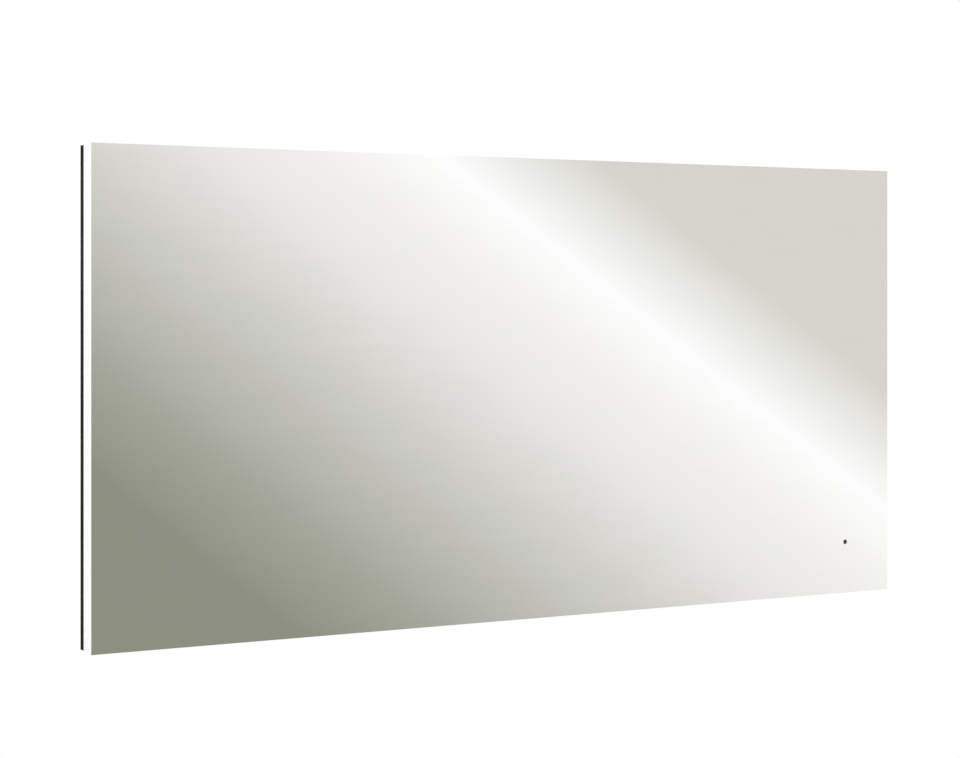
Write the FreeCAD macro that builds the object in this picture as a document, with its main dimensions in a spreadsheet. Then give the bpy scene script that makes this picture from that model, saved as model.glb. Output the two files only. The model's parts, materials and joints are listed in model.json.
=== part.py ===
import FreeCAD, Part

import os
import re

import Sketcher

# A lighted wall mirror that hangs on a rail, in millimetres.
#
# X runs to the right along the mirror and Z is up. The wall is the plane Y = 0 and the mirror stands in
# front of it, at negative Y, so depths are written as w, the distance from the wall: w = -Y. The origin is
# on the wall, midway along the line of the wall rail's screws. In the frame's sections u is the distance
# inward from the frame's outer face.

SIZES = {
    # mirror pane, its film and the tape that bonds it to the frame
    "glass_width": 1200,
    "glass_height": 600,
    "glass_thick": 4,
    "glass_arris": 0.3,
    "film_thick": 0.3,
    "film_margin": 3,
    "tape_thick": 1,
    "tape_width": 24,
    "tape_inset": 4,
    # frame section: a rear chamber with a mounting flange, a web and a front flange
    "frame_inset": 1.5,
    "frame_depth": 34.7,
    "frame_wall": 1.6,
    "rear_gap": 0.5,
    "chamber_width": 18,
    "chamber_depth": 11.2,
    "flange_reach": 40,
    "front_flange_reach": 32,
    "rib_place": 4.4,
    "rib_width": 1,
    "rib_height": 0.8,
    "flange_screw_inset": 30,
    # corner keys in the rear chambers
    "key_gap": 0.1,
    "key_reach": 55,
    "key_screw": 38,
    "set_screw_radius": 1.95,
    "set_screw_length": 5,
    "set_screw_depth": 0.3,
    "set_screw_socket": 2,
    "set_screw_socket_depth": 2,
    # diffuser that snaps over the ribs
    "diffuser_wall": 1.6,
    "diffuser_gap": 0.1,
    "diffuser_film_gap": 0.5,
    "flange_edge_gap": 1,
    "hook_length": 1.9,
    # light strips
    "strip_width": 8,
    "strip_thick": 0.3,
    "strip_end_gap": 10,
    "led_pitch": 16.5,
    "led_length": 3.5,
    "led_width": 2.8,
    "led_height": 0.8,
    "link_width": 6,
    "link_thick": 0.2,
    "link_lap": 5,
    "feed_inset": 56.5,
    "connector_length": 18,
    "connector_height": 4.5,
    # wall rail and hanger rail
    "rail_length": 900,
    "rail_sheet": 1.8,
    "rail_drop": 16,
    "rail_shoulder": 6,
    "rail_lip_gap": 2.5,
    "rail_lip_top": 17,
    "rail_hole_place": 200,
    "rail_hole_radius": 2.75,
    "rail_slot_place": 400,
    "rail_slot_travel": 4,
    "hanger_length": 860,
    "hanger_wall_gap": 0.35,
    "hanger_step_gap": 2,
    "hanger_edge_gap": 0.2,
    "hanger_screw_middle": 270,
    "hanger_screw_end": 400,
    # crossbars
    "bar_place": 140,
    "bar_width": 24,
    "bar_thick": 3,
    "bar_end_gap": 1,
    "bar_screw_spread": 8,
    # machine screws, M4 and M3
    "screw_fit": 0.05,
    "large_screw_radius": 1.95,
    "large_head_radius": 3.6,
    "large_head_height": 2.2,
    "hanger_screw_length": 8,
    "bar_screw_length": 5,
    "small_screw_radius": 1.2,
    "small_head_radius": 2.6,
    "small_head_height": 1.6,
    "lid_screw_length": 10,
    "board_screw_length": 5,
    "recess_arm": 1.6,
    "recess_half": 0.4,
    "recess_depth": 1,
    "pilot_spare": 0.4,
    # bumpers
    "bumper_place": 450,
    "bumper_radius": 8,
    # control box
    "box_side_gap": 2,
    "box_drop": 115,
    "box_height": 70,
    "box_depth": 23.8,
    "box_wall": 2,
    "box_corner": 3,
    "ear_thick": 2,
    "ear_height": 16,
    "ear_end_gap": 2,
    "ear_place": 22,
    "post_side": 8,
    "gasket_thick": 0.8,
    "gasket_edge": 0.2,
    "lid_thick": 2,
    # cable gland in the box's lower wall
    "gland_inset": 34,
    "gland_rim_gap": 10.8,
    "gland_bore": 4.1,
    "gland_thread": 6,
    "gland_hex": 16,
    "gland_flange": 5,
    "gland_spigot": 7,
    "lock_nut_thick": 3.5,
    "gland_stem": 8,
    "cap_wall": 1.5,
    "cap_step": 0.3,
    "cap_length": 11,
    "cap_stem_gap": 0.2,
    "cap_mouth": 3.8,
    "cap_end": 1.8,
    "seal_bore": 3.3,
    "seal_gap": 0.05,
    "thread_gap": 0.05,
    # driver board and what stands on it
    "board_end_gap": 13,
    "board_edge_gap": 6,
    "board_thick": 1.6,
    "standoff_height": 3,
    "standoff_radius": 3,
    "standoff_inset": 5,
    "mains_block_inset": 31,
    "mains_block_width": 28,
    "mains_block_height": 10,
    "mains_block_deep": 12,
    "mains_pitch": 8,
    "mains_entry_radius": 1.8,
    "clamp_screw_radius": 1.6,
    "clamp_screw_length": 3,
    "clamp_slot": 0.3,
    "fuse_place": 52,
    "fuse_radius": 4.2,
    "fuse_height": 8,
    "choke_place": 34,
    "choke_radius": 6,
    "choke_tube": 3,
    "core_width": 26,
    "core_height": 16,
    "core_deep": 13,
    "core_leg": 3,
    "core_middle_leg": 3.5,
    "winding_gap": 0.2,
    "winding_overhang": 4,
    "capacitor_place": 26,
    "capacitor_pitch": 14,
    "capacitor_radius": 5,
    "capacitor_height": 12.5,
    "sink_place": 62,
    "sink_width": 34,
    "sink_height": 12,
    "sink_thick": 1.5,
    "transistor_width": 10,
    "transistor_height": 11,
    "transistor_thick": 4.5,
    "low_block_inset": 13,
    "low_block_width": 12,
    "low_block_height": 20,
    "low_block_deep": 13,
    # leads, their grommets and clips
    "lead_radius": 1.6,
    "lead_bar_gap": 0.6,
    "lead_spacing": 6,
    "lead_bend": 10,
    "lead_inset": 33,
    "lead_entry": 2,
    "grommet_rim": 1.2,
    "grommet_hole": 2.6,
    "grommet_flange": 3,
    "clip_gap": 0.05,
    "clip_long": 8,
    "clip_side": 3,
    "clip_cover": 1.4,
    "bar_clip_upper": 60,
    "bar_clip_lower": 220,
    "flange_clip_first": 110,
    "flange_clip_second": 260,
    # sensor module behind the pane
    "sensor_side": 77,
    "sensor_rise": 72,
    "lens_radius": 3,
    "lens_hole_gap": 0.2,
    "lens_case_gap": 0.05,
    "lens_recess": 0.2,
    "lens_flange": 4.5,
    "lens_flange_thick": 1.5,
    "film_hole_gap": 1,
    "case_width": 36,
    "case_height": 30,
    "case_deep": 16,
    "case_wall": 2,
    "case_corner": 2,
    "cover_thick": 1.5,
    "cover_gap": 0.1,
    "eye_radius": 1.5,
    "eye_length": 5,
    "eye_place": 1.9,
    "sensor_board_thick": 1.6,
    "sensor_board_gap": 0.5,
    "support_side": 4,
    "plug_width": 8,
    "plug_height": 8,
    "sensor_rise_run": 45,
    "sensor_level_run": 22,
}

# Places that follow from the sizes. Widths and heights of the frame are of its outer face.
PLACES = {
    "frame_width": "glass_width - 2 * frame_inset",
    "frame_height": "glass_height - 2 * frame_inset",
    "hanger_step": "rail_lip_top + hanger_step_gap",
    "frame_top": "hanger_step + rail_sheet + hanger_edge_gap + flange_reach",
    "frame_bottom": "frame_top - frame_height",
    "frame_middle": "frame_top - frame_height / 2",
    "glass_bottom": "frame_bottom - frame_inset",
    "film_back": "frame_depth + tape_thick",
    "glass_back": "film_back + film_thick",
    "glass_front": "glass_back + glass_thick",
    "flange_back": "chamber_depth - frame_wall",
    "front_flange_back": "frame_depth - frame_wall",
    "web_outer": "chamber_width - frame_wall",
    "light_middle": "(chamber_depth + front_flange_back) / 2",
    "feed_place": "frame_width / 2 - feed_inset",
    "screw_hole": "large_screw_radius + screw_fit",
    "small_hole": "small_screw_radius + screw_fit",
    "top_screw": "frame_top - flange_screw_inset",
    "bottom_screw": "frame_bottom + flange_screw_inset",
    "hanger_back": "flange_back - rail_sheet",
    "bar_front": "chamber_depth + bar_thick",
    "box_half": "bar_place - bar_width / 2 - box_side_gap",
    "box_top": "0 - box_drop",
    "box_bottom": "box_top - box_height",
    "box_middle": "box_top - box_height / 2",
    "box_rim": "chamber_depth - ear_thick",
    "box_front": "box_rim + box_depth",
    "box_floor": "box_front - box_wall",
    "ear_offset": "box_height / 2 - ear_place / 2",
    "post_offset_x": "box_half - box_wall - post_side / 2",
    "post_offset_z": "box_height / 2 - box_wall - post_side / 2",
    "gland_place": "box_half - gland_inset",
    "gland_depth": "box_rim + gland_rim_gap",
    "lid_front": "box_rim - gasket_thick",
    "lid_back": "lid_front - lid_thick",
    "board_front": "box_floor - standoff_height",
    "board_back": "board_front - board_thick",
    "board_width": "2 * (box_half - box_wall - board_end_gap)",
    "board_height": "box_height - 2 * (box_wall + board_edge_gap)",
    "standoff_offset_x": "board_width / 2 - standoff_inset",
    "standoff_offset_z": "board_height / 2 - standoff_inset",
    "mains_block_place": "board_width / 2 - mains_block_inset",
    "low_block_place": "board_width / 2 - low_block_inset",
    "mains_middle": "box_bottom + box_wall + gland_spigot + mains_block_height",
    "lead_plane": "bar_front + lead_radius + lead_bar_gap",
    "upper_lead": "box_middle + lead_spacing / 2",
    "lower_lead": "box_middle - lead_spacing / 2",
    "outer_lead": "bar_place + lead_spacing / 2",
    "inner_lead": "bar_place - lead_spacing / 2",
    "flange_lead_middle": "frame_bottom + lead_inset",
    "upper_run": "flange_lead_middle + lead_spacing / 2",
    "lower_run": "flange_lead_middle - lead_spacing / 2",
    "sensor_x": "glass_width / 2 - sensor_side",
    "sensor_z": "glass_bottom + sensor_rise",
    "case_back": "film_back - case_deep",
    "case_floor": "film_back - case_wall",
    "lens_base": "case_floor - lens_flange_thick",
    "sensor_board_front": "lens_base - eye_length",
    "sensor_board_back": "sensor_board_front - sensor_board_thick",
    "plug_back": "case_back + cover_thick + cover_gap",
    "sensor_lead_plane": "(plug_back + sensor_board_back) / 2",
    "case_left": "sensor_x - case_width / 2",
}

NAME = re.compile(r"[a-z][a-z_]*")

doc = FreeCAD.newDocument("LightedMirror")
sheet = doc.addObject("Spreadsheet::Sheet", "Sizes")
for row, (alias, size) in enumerate(SIZES.items(), start=1):
    sheet.set(f"A{row}", alias)
    sheet.set(f"B{row}", str(size))
    sheet.setAlias(f"B{row}", alias)
doc.recompute()

nodes = []


# ---------------------------------------------------------------- formulas


def formula(text):
    """Return text with each size written as its cell and each place as its own formula."""

    def cell(match):
        word = match.group(0)
        if word in PLACES:
            return f"({formula(PLACES[word])})"
        if word in SIZES:
            return f"Sizes.{word}"
        return word

    return NAME.sub(cell, text)


def number(text):
    """Return what a formula comes to now."""
    return float(sheet.evalExpression(formula(text)))


def bind(item, **formulas):
    """Bind an object's properties to formulas."""
    for name, text in formulas.items():
        item.setExpression(name, formula(text))


def place(item, x="0", w="0", z="0", rotation=None):
    """Bind an object's position, with w as its distance from the wall."""
    if rotation is not None:
        item.Placement = FreeCAD.Placement(FreeCAD.Vector(), rotation)
    item.setExpression("Placement.Base.x", formula(x))
    item.setExpression("Placement.Base.y", formula(f"0 - ({w})"))
    item.setExpression("Placement.Base.z", formula(z))


def turned(axis, angle):
    return FreeCAD.Rotation(FreeCAD.Vector(*axis), angle)


TO_WALL = turned((1, 0, 0), -90)
TO_FRONT = turned((1, 0, 0), 90)


def node(item, label):
    """Name a sub-part. The label is its file's name too."""
    item.Label = label
    nodes.append(item)
    return item


# ---------------------------------------------------------------- outlines


def polygon(corners):
    return ("polygon", corners)


def rectangle(left, right, low, high):
    return polygon([(left, low), (right, low), (right, high), (left, high)])


def around(across, up, width, height):
    """A rectangle about a middle."""
    return rectangle(
        f"({across}) - ({width}) / 2",
        f"({across}) + ({width}) / 2",
        f"({up}) - ({height}) / 2",
        f"({up}) + ({height}) / 2",
    )


def circle(across, up, radius):
    return ("circle", (across, up), radius)


def hexagon(across, up, flats):
    """A hexagon about a middle, measured across its flats, with two corners on the first axis."""
    far = f"({flats}) / sqrt(3)"
    near = f"({flats}) / (2 * sqrt(3))"
    half = f"({flats}) / 2"
    offsets = [(far, "0"), (near, half), (f"0 - {near}", half)]
    offsets += [(f"0 - {far}", "0"), (f"0 - {near}", f"0 - {half}"), (near, f"0 - {half}")]
    return polygon([(f"({across}) + ({a})", f"({up}) + ({b})") for a, b in offsets])


def cross(arm, half):
    """A plus sign about the axis, for a screw's recess."""
    minus_arm, minus_half = f"0 - {arm}", f"0 - {half}"
    corners = [(arm, half), (half, half), (half, arm), (minus_half, arm), (minus_half, half)]
    corners += [(minus_arm, half), (minus_arm, minus_half), (minus_half, minus_half)]
    corners += [(minus_half, minus_arm), (half, minus_arm), (half, minus_half), (arm, minus_half)]
    return polygon(corners)


# A sketch's two axes for features that run along x, w or z. Depths turn into the negative Y of their plane.
PLANES = {
    "x": ("YZ_Plane", lambda point: (f"0 - ({point[0]})", point[1])),
    "w": ("XZ_Plane", lambda point: point),
    "z": ("XY_Plane", lambda point: (point[0], f"0 - ({point[1]})")),
}


def fix_point(sketch, curve, end, point):
    """Tie a point of a curve to its two formulas."""
    for kind, text in zip(("DistanceX", "DistanceY"), point):
        rule = Sketcher.Constraint(kind, -1, 1, curve, end, number(text))
        index = sketch.addConstraint(rule)
        sketch.renameConstraint(index, f"{kind}{curve}")
        sketch.setExpression(f"Constraints.{kind}{curve}", formula(text))


def add_polygon(sketch, corners):
    first = sketch.GeometryCount
    count = len(corners)
    spots = [FreeCAD.Vector(number(a), number(b), 0) for a, b in corners]
    for step in range(count):
        sketch.addGeometry(Part.LineSegment(spots[step], spots[(step + 1) % count]))
    for step in range(count):
        following = first + (step + 1) % count
        sketch.addConstraint(Sketcher.Constraint("Coincident", first + step, 2, following, 1))
    for step, corner in enumerate(corners):
        fix_point(sketch, first + step, 1, corner)


def add_circle(sketch, middle, radius):
    index = sketch.GeometryCount
    spot = FreeCAD.Vector(number(middle[0]), number(middle[1]), 0)
    sketch.addGeometry(Part.Circle(spot, FreeCAD.Vector(0, 0, 1), number(radius)))
    fix_point(sketch, index, 3, middle)
    rule = sketch.addConstraint(Sketcher.Constraint("Radius", index, number(radius)))
    sketch.renameConstraint(rule, f"Radius{index}")
    sketch.setExpression(f"Constraints.Radius{index}", formula(radius))


def add_sketch(body, name, axis, offset, loops):
    """Sketch closed loops square to an axis, at an offset along it."""
    role, convert = PLANES[axis]
    plane = next(item for item in body.Origin.OriginFeatures if item.Role == role)
    sketch = body.newObject("Sketcher::SketchObject", f"{body.Name}_{name}_Sketch")
    sketch.AttachmentSupport = [(plane, "")]
    sketch.MapMode = "FlatFace"
    sketch.setExpression("AttachmentOffset.Base.z", formula(offset))
    for kind, *data in loops:
        if kind == "polygon":
            add_polygon(sketch, [convert(corner) for corner in data[0]])
        else:
            add_circle(sketch, convert(data[0]), data[1])
    return sketch


# ---------------------------------------------------------------- features


def new_body(name, **position):
    body = doc.addObject("PartDesign::Body", name)
    place(body, **position)
    return body


def pad(body, name, axis, loops, start, end):
    """Add loops between two places on an axis."""
    feature = body.newObject("PartDesign::Pad", f"{body.Name}_{name}")
    feature.Profile = add_sketch(body, name, axis, start, loops)
    bind(feature, Length=f"({end}) - ({start})")
    return feature


def pocket(body, name, axis, loops, start, end):
    """Cut loops between two places on an axis: the sketch lies at the end and the cut goes back from it."""
    feature = body.newObject("PartDesign::Pocket", f"{body.Name}_{name}")
    feature.Profile = add_sketch(body, name, axis, end, loops)
    bind(feature, Length=f"({end}) - ({start})")
    return feature


def revolve(body, name, profile):
    """Turn a profile of (radius, height) corners about the body's Z axis."""
    sketch = add_sketch(body, name, "w", "0", [polygon(profile)])
    feature = body.newObject("PartDesign::Revolution", f"{body.Name}_{name}")
    feature.Profile = sketch
    feature.ReferenceAxis = (sketch, ["V_Axis"])
    feature.Angle = 360
    return feature


def faces_square_to_w(shape):
    """Names of the flat faces that look to the front or to the wall."""
    names = []
    for index, face in enumerate(shape.Faces, start=1):
        box = face.BoundBox
        if box.YLength < 1e-6:
            names.append(f"Face{index}")
    return names


def round_corners(body, feature, radius):
    """Round the four outer corners of a plate or box that was padded along w."""
    doc.recompute()
    limits = feature.Shape.BoundBox
    names = []
    for index, edge in enumerate(feature.Shape.Edges, start=1):
        box = edge.BoundBox
        along_w = box.XLength < 1e-6 and box.ZLength < 1e-6
        at_side = min(box.XMin - limits.XMin, limits.XMax - box.XMax) < 1e-6
        at_end = min(box.ZMin - limits.ZMin, limits.ZMax - box.ZMax) < 1e-6
        if along_w and at_side and at_end:
            names.append(f"Edge{index}")
    fillet = body.newObject("PartDesign::Fillet", f"{feature.Name}_Corners")
    fillet.Base = (feature, names)
    bind(fillet, Radius=radius)


def block(name, x, w, z):
    """A box between pairs of places."""
    item = doc.addObject("Part::Box", name)
    bind(
        item,
        Length=f"({x[1]}) - ({x[0]})",
        Width=f"({w[1]}) - ({w[0]})",
        Height=f"({z[1]}) - ({z[0]})",
    )
    place(item, x[0], w[1], z[0])
    return item


def rod(name, radius, length, x, w, z, rotation=None):
    """A cylinder that starts at a place and runs up, or as its rotation says."""
    item = doc.addObject("Part::Cylinder", name)
    bind(item, Radius=radius, Height=length)
    place(item, x, w, z, rotation)
    return item


def group(name, members):
    item = doc.addObject("Part::Compound", name)
    item.Links = members
    return item


def copies(name, master, spots, rotation):
    """One node of identical pieces: copies of a master at places (x, w, z)."""
    links = []
    for x, w, z in spots:
        link = doc.addObject("App::Link", f"{name}_copy")
        link.LinkedObject = master
        place(link, x, w, z, rotation)
        links.append(link)
    return node(group(name, links), name)


def plus_minus(*texts):
    return [f"{sign}({text})" for text in texts for sign in ("", "0 - ")]


# ---------------------------------------------------------------- rails on the wall and on the frame


def rail_section():
    """Base on the wall, a shelf, and a lip that stands off the wall."""
    lip_front = "rail_lip_gap + rail_sheet"
    shelf_under = "rail_shoulder - rail_sheet"
    return polygon([
        ("0", "0 - rail_drop"),
        ("rail_sheet", "0 - rail_drop"),
        ("rail_sheet", shelf_under),
        (lip_front, shelf_under),
        (lip_front, "rail_lip_top"),
        ("rail_lip_gap", "rail_lip_top"),
        ("rail_lip_gap", "rail_shoulder"),
        ("0", "rail_shoulder"),
    ])


def hanger_section():
    """A tongue that drops behind the lip and rests on the shelf, a step, and a base on the frame."""
    tongue_front = "hanger_wall_gap + rail_sheet"
    base_top = "frame_top - chamber_width - hanger_edge_gap"
    step_top = "hanger_step + rail_sheet"
    return polygon([
        ("hanger_wall_gap", "rail_shoulder"),
        (tongue_front, "rail_shoulder"),
        (tongue_front, "hanger_step"),
        ("flange_back", "hanger_step"),
        ("flange_back", base_top),
        ("hanger_back", base_top),
        ("hanger_back", step_top),
        ("hanger_wall_gap", step_top),
    ])


def make_wall_rail():
    rail = new_body("WallRail")
    pad(rail, "Section", "x", [rail_section()], "0 - rail_length / 2", "rail_length / 2")
    holes = [circle(x, "0", "rail_hole_radius") for x in plus_minus("rail_hole_place")]
    pocket(rail, "Holes", "w", holes, "0 - rail_sheet", "2 * rail_sheet")
    slots = [
        around(x, "0", "2 * rail_slot_travel", "2 * rail_hole_radius")
        for x in plus_minus("rail_slot_place")
    ]
    pocket(rail, "Slots", "w", slots, "0 - rail_sheet", "2 * rail_sheet")
    ends = [
        circle(x, "0", "rail_hole_radius")
        for x in plus_minus("rail_slot_place + rail_slot_travel", "rail_slot_place - rail_slot_travel")
    ]
    pocket(rail, "SlotEnds", "w", ends, "0 - rail_sheet", "2 * rail_sheet")
    node(rail, "wall_rail")


def bar_screw_places():
    return plus_minus("bar_place + bar_screw_spread", "bar_place - bar_screw_spread")


def hanger_screw_places():
    return bar_screw_places() + plus_minus("hanger_screw_middle", "hanger_screw_end")


def make_hanger_rail():
    hanger = new_body("HangerRail")
    half = "hanger_length / 2"
    pad(hanger, "Section", "x", [hanger_section()], f"0 - {half}", half)
    holes = [circle(x, "top_screw", "screw_hole") for x in hanger_screw_places()]
    pocket(hanger, "Holes", "w", holes, "hanger_back - rail_sheet", "flange_back + rail_sheet")
    node(hanger, "hanger_rail")


# ---------------------------------------------------------------- frame, keys and diffuser

# Each length is drawn as the upper one, about the frame's middle, and turned about Y to its side.
SIDES = {
    "top": ("frame_width", "frame_height", 0),
    "right": ("frame_height", "frame_width", 90),
    "bottom": ("frame_width", "frame_height", 180),
    "left": ("frame_height", "frame_width", 270),
}


def side_body(name, side):
    return new_body(f"{name}_{side}", z="frame_middle", rotation=turned((0, 1, 0), SIDES[side][2]))


def section(across, corners):
    """Turn (w, u) corners of a section into (w, height) ones under an outer face."""
    return polygon([(w, f"({across}) / 2 - ({u})") for w, u in corners])


def frame_outline():
    """The extrusion's outer outline in (w, u), with a snap rib on each side of the light channel."""
    rib_end = "rib_place + rib_width"
    front_edge = "diffuser_wall + flange_edge_gap"
    front_rib = "front_flange_back - rib_height"
    rear_rib = "chamber_depth + rib_height"
    return [
        ("rear_gap", "0"),
        ("rear_gap", "chamber_width"),
        ("flange_back", "chamber_width"),
        ("flange_back", "flange_reach"),
        ("chamber_depth", "flange_reach"),
        ("chamber_depth", "chamber_width"),
        ("front_flange_back", "chamber_width"),
        ("front_flange_back", "front_flange_reach"),
        ("frame_depth", "front_flange_reach"),
        ("frame_depth", front_edge),
        ("front_flange_back", front_edge),
        ("front_flange_back", "rib_place"),
        (front_rib, "rib_place"),
        (front_rib, rib_end),
        ("front_flange_back", rib_end),
        ("front_flange_back", "web_outer"),
        ("chamber_depth", "web_outer"),
        ("chamber_depth", rib_end),
        (rear_rib, rib_end),
        (rear_rib, "rib_place"),
        ("chamber_depth", "rib_place"),
        ("chamber_depth", "0"),
    ]


def chamber_outline():
    """The hollow that takes the corner keys, in (w, u)."""
    rear = "rear_gap + frame_wall"
    return [
        (rear, "frame_wall"),
        (rear, "web_outer"),
        ("flange_back", "web_outer"),
        ("flange_back", "frame_wall"),
    ]


def diffuser_outline():
    """A channel whose two legs end in hooks behind the frame's ribs, in (w, u)."""
    rear = "chamber_depth + diffuser_gap"
    front = "film_back - diffuser_film_gap"
    hook_start = "rib_place + rib_width + diffuser_gap"
    hook_end = f"{hook_start} + hook_length"
    rear_leg = "chamber_depth + rib_height + diffuser_gap"
    front_leg = "front_flange_back - rib_height - diffuser_gap"
    return [
        (rear, "0"),
        (rear, "diffuser_wall"),
        (rear_leg, "diffuser_wall"),
        (rear_leg, hook_start),
        (rear, hook_start),
        (rear, hook_end),
        (f"{rear_leg} + diffuser_wall", hook_end),
        (f"{rear_leg} + diffuser_wall", "diffuser_wall"),
        (f"{front_leg} - diffuser_wall", "diffuser_wall"),
        (f"{front_leg} - diffuser_wall", hook_end),
        ("front_flange_back - diffuser_gap", hook_end),
        ("front_flange_back - diffuser_gap", hook_start),
        (front_leg, hook_start),
        (front_leg, "diffuser_wall"),
        (front, "diffuser_wall"),
        (front, "0"),
    ]


def mitre(body, length, across, reach):
    """Cut both ends of a length back at 45 degrees, from its outer face to past its inner edge."""
    corners = []
    for sign in ("", "0 - "):
        end = f"({length}) / 2"
        high = f"({across}) / 2"
        low = f"({across}) / 2 - ({reach})"
        corners.append([
            (f"{sign}({end})", high),
            (f"{sign}({end} + 1)", high),
            (f"{sign}({end} + 1)", low),
            (f"{sign}({end} - ({reach}))", low),
        ])
    pocket(body, "Mitres", "w", [polygon(item) for item in corners], "0 - 1", "film_back + 1")


def make_frame(side):
    length, across, _ = SIDES[side]
    body = side_body("Frame", side)
    loops = [section(across, frame_outline()), section(across, chamber_outline())]
    pad(body, "Section", "x", loops, f"0 - ({length}) / 2", f"({length}) / 2")
    mitre(body, length, across, "flange_reach + 1")
    key_height = f"({across}) / 2 - chamber_width / 2"
    key_holes = [
        circle(x, key_height, "set_screw_radius + screw_fit")
        for x in plus_minus(f"({length}) / 2 - key_screw")
    ]
    pocket(body, "KeyHoles", "w", key_holes, "0 - 1", "rear_gap + frame_wall + 1")
    flange_screws = {"top": hanger_screw_places(), "bottom": bar_screw_places()}
    if side in flange_screws:
        height = f"({across}) / 2 - flange_screw_inset"
        holes = [circle(x, height, "screw_hole") for x in flange_screws[side]]
        pocket(body, "FlangeHoles", "w", holes, "flange_back - 1", "chamber_depth + 1")
    if side == "bottom":
        web_inner = f"({across}) / 2 - chamber_width"
        feed = [circle("0 - feed_place", "lead_plane", "grommet_hole")]
        pocket(body, "FeedHole", "z", feed, f"{web_inner} - 1", f"{web_inner} + frame_wall + 1")
    node(body, f"frame_{side}")


def make_diffuser(side):
    length, across, _ = SIDES[side]
    body = side_body("Diffuser", side)
    pad(body, "Section", "x", [section(across, diffuser_outline())], f"0 - ({length}) / 2", f"({length}) / 2")
    mitre(body, length, across, "chamber_width")
    node(body, f"diffuser_{side}")


def make_corner_keys():
    """An L in each rear corner, held by a set screw in each leg."""
    keys = []
    screws = []
    outer = "frame_wall + key_gap"
    inner = "web_outer - key_gap"
    middle = "chamber_width / 2"
    for right in (1, -1):
        for upper in (1, -1):

            def corner(along, up):
                return (f"{right} * (frame_width / 2 - ({along}))", f"{upper} * (frame_height / 2 - ({up}))")

            key = new_body("CornerKey", z="frame_middle")
            outline = [corner(outer, outer), corner(outer, "key_reach"), corner(inner, "key_reach")]
            outline += [corner(inner, inner), corner("key_reach", inner), corner("key_reach", outer)]
            holes = [corner("key_screw", middle), corner(middle, "key_screw")]
            loops = [polygon(outline)] + [circle(*spot, "set_screw_radius + screw_fit") for spot in holes]
            pad(key, "Ell", "w", loops, "rear_gap + frame_wall + key_gap", "flange_back - key_gap")
            keys.append(key)
            screws += [(x, "rear_gap + set_screw_depth", f"frame_middle + {z}") for x, z in holes]
    node(group("CornerKeys", keys), "corner_keys")

    master = new_body("SetScrew")
    low = "0 - set_screw_length"
    revolve(master, "Stud", [("0", "0"), ("set_screw_radius", "0"), ("set_screw_radius", low), ("0", low)])
    pocket(master, "Socket", "z", [hexagon("0", "0", "set_screw_socket")], "0 - set_screw_socket_depth", "0")
    copies("corner_set_screws", master, screws, TO_WALL)


# ---------------------------------------------------------------- pane, film and tape


def make_pane():
    glass = new_body("MirrorGlass", z="frame_middle")
    loops = [
        around("0", "0", "glass_width", "glass_height"),
        circle("sensor_x", "sensor_z - frame_middle", "lens_radius + lens_hole_gap"),
    ]
    pane = pad(glass, "Pane", "w", loops, "glass_back", "glass_front")
    doc.recompute()
    arris = glass.newObject("PartDesign::Chamfer", "MirrorGlass_Arris")
    arris.Base = (pane, faces_square_to_w(pane.Shape))
    bind(arris, Size="glass_arris")
    node(glass, "mirror_glass")

    film = new_body("SafetyFilm", z="frame_middle")
    loops = [
        around("0", "0", "glass_width - 2 * film_margin", "glass_height - 2 * film_margin"),
        circle("sensor_x", "sensor_z - frame_middle", "lens_radius + film_hole_gap"),
    ]
    pad(film, "Sheet", "w", loops, "film_back", "glass_back")
    node(film, "safety_film")

    depth = ("frame_depth", "film_back")
    outer_x = "frame_width / 2 - tape_inset"
    inner_x = f"{outer_x} - tape_width"
    outer_z = "frame_height / 2 - tape_inset"
    inner_z = f"{outer_z} - tape_width"
    across = (f"0 - ({outer_x})", outer_x)
    between = (f"0 - ({inner_z})", inner_z)
    upper = block("TapeTop", across, depth, (inner_z, outer_z))
    lower = block("TapeBottom", across, depth, (f"0 - ({outer_z})", f"0 - ({inner_z})"))
    right = block("TapeRight", (inner_x, outer_x), depth, between)
    left = block("TapeLeft", (f"0 - ({outer_x})", f"0 - ({inner_x})"), depth, between)
    tape = group("BondingTape", [upper, lower, right, left])
    place(tape, z="frame_middle")
    node(tape, "bonding_tape")


# ---------------------------------------------------------------- light strips


def strip_ends(side):
    """Where a strip starts and ends along its length, drawn as the upper one."""
    length = SIDES[side][0]
    end = f"({length}) / 2 - web_outer - strip_end_gap"
    start = "0 - (feed_place - connector_length / 2)" if side == "bottom" else f"0 - ({end})"
    return start, end


def make_light(side):
    """A strip on the web's outer face and its row of LEDs."""
    across = SIDES[side][1]
    start, end = strip_ends(side)
    low = f"({across}) / 2 - web_outer"
    high = f"{low} + strip_thick"
    strip = side_body("LedStrip", side)
    outline = rectangle(start, end, "light_middle - strip_width / 2", "light_middle + strip_width / 2")
    pad(strip, "Tape", "z", [outline], low, high)
    node(strip, f"led_strip_{side}")

    row = side_body("LedRow", side)
    first = f"{start} + led_pitch / 2"
    outline = around(first, "light_middle", "led_length", "led_width")
    led = pad(row, "Led", "z", [outline], high, f"{high} + led_height")
    doc.recompute()
    pattern = row.newObject("PartDesign::LinearPattern", f"{row.Name}_Pattern")
    pattern.Originals = [led]
    pattern.Direction = (led.Profile[0], ["H_Axis"])
    pattern.Mode = "Spacing"
    bind(pattern, Offset="led_pitch", Occurrences=f"floor((({end}) - ({start})) / led_pitch)")
    row.Tip = pattern
    node(row, f"leds_{side}")


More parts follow.
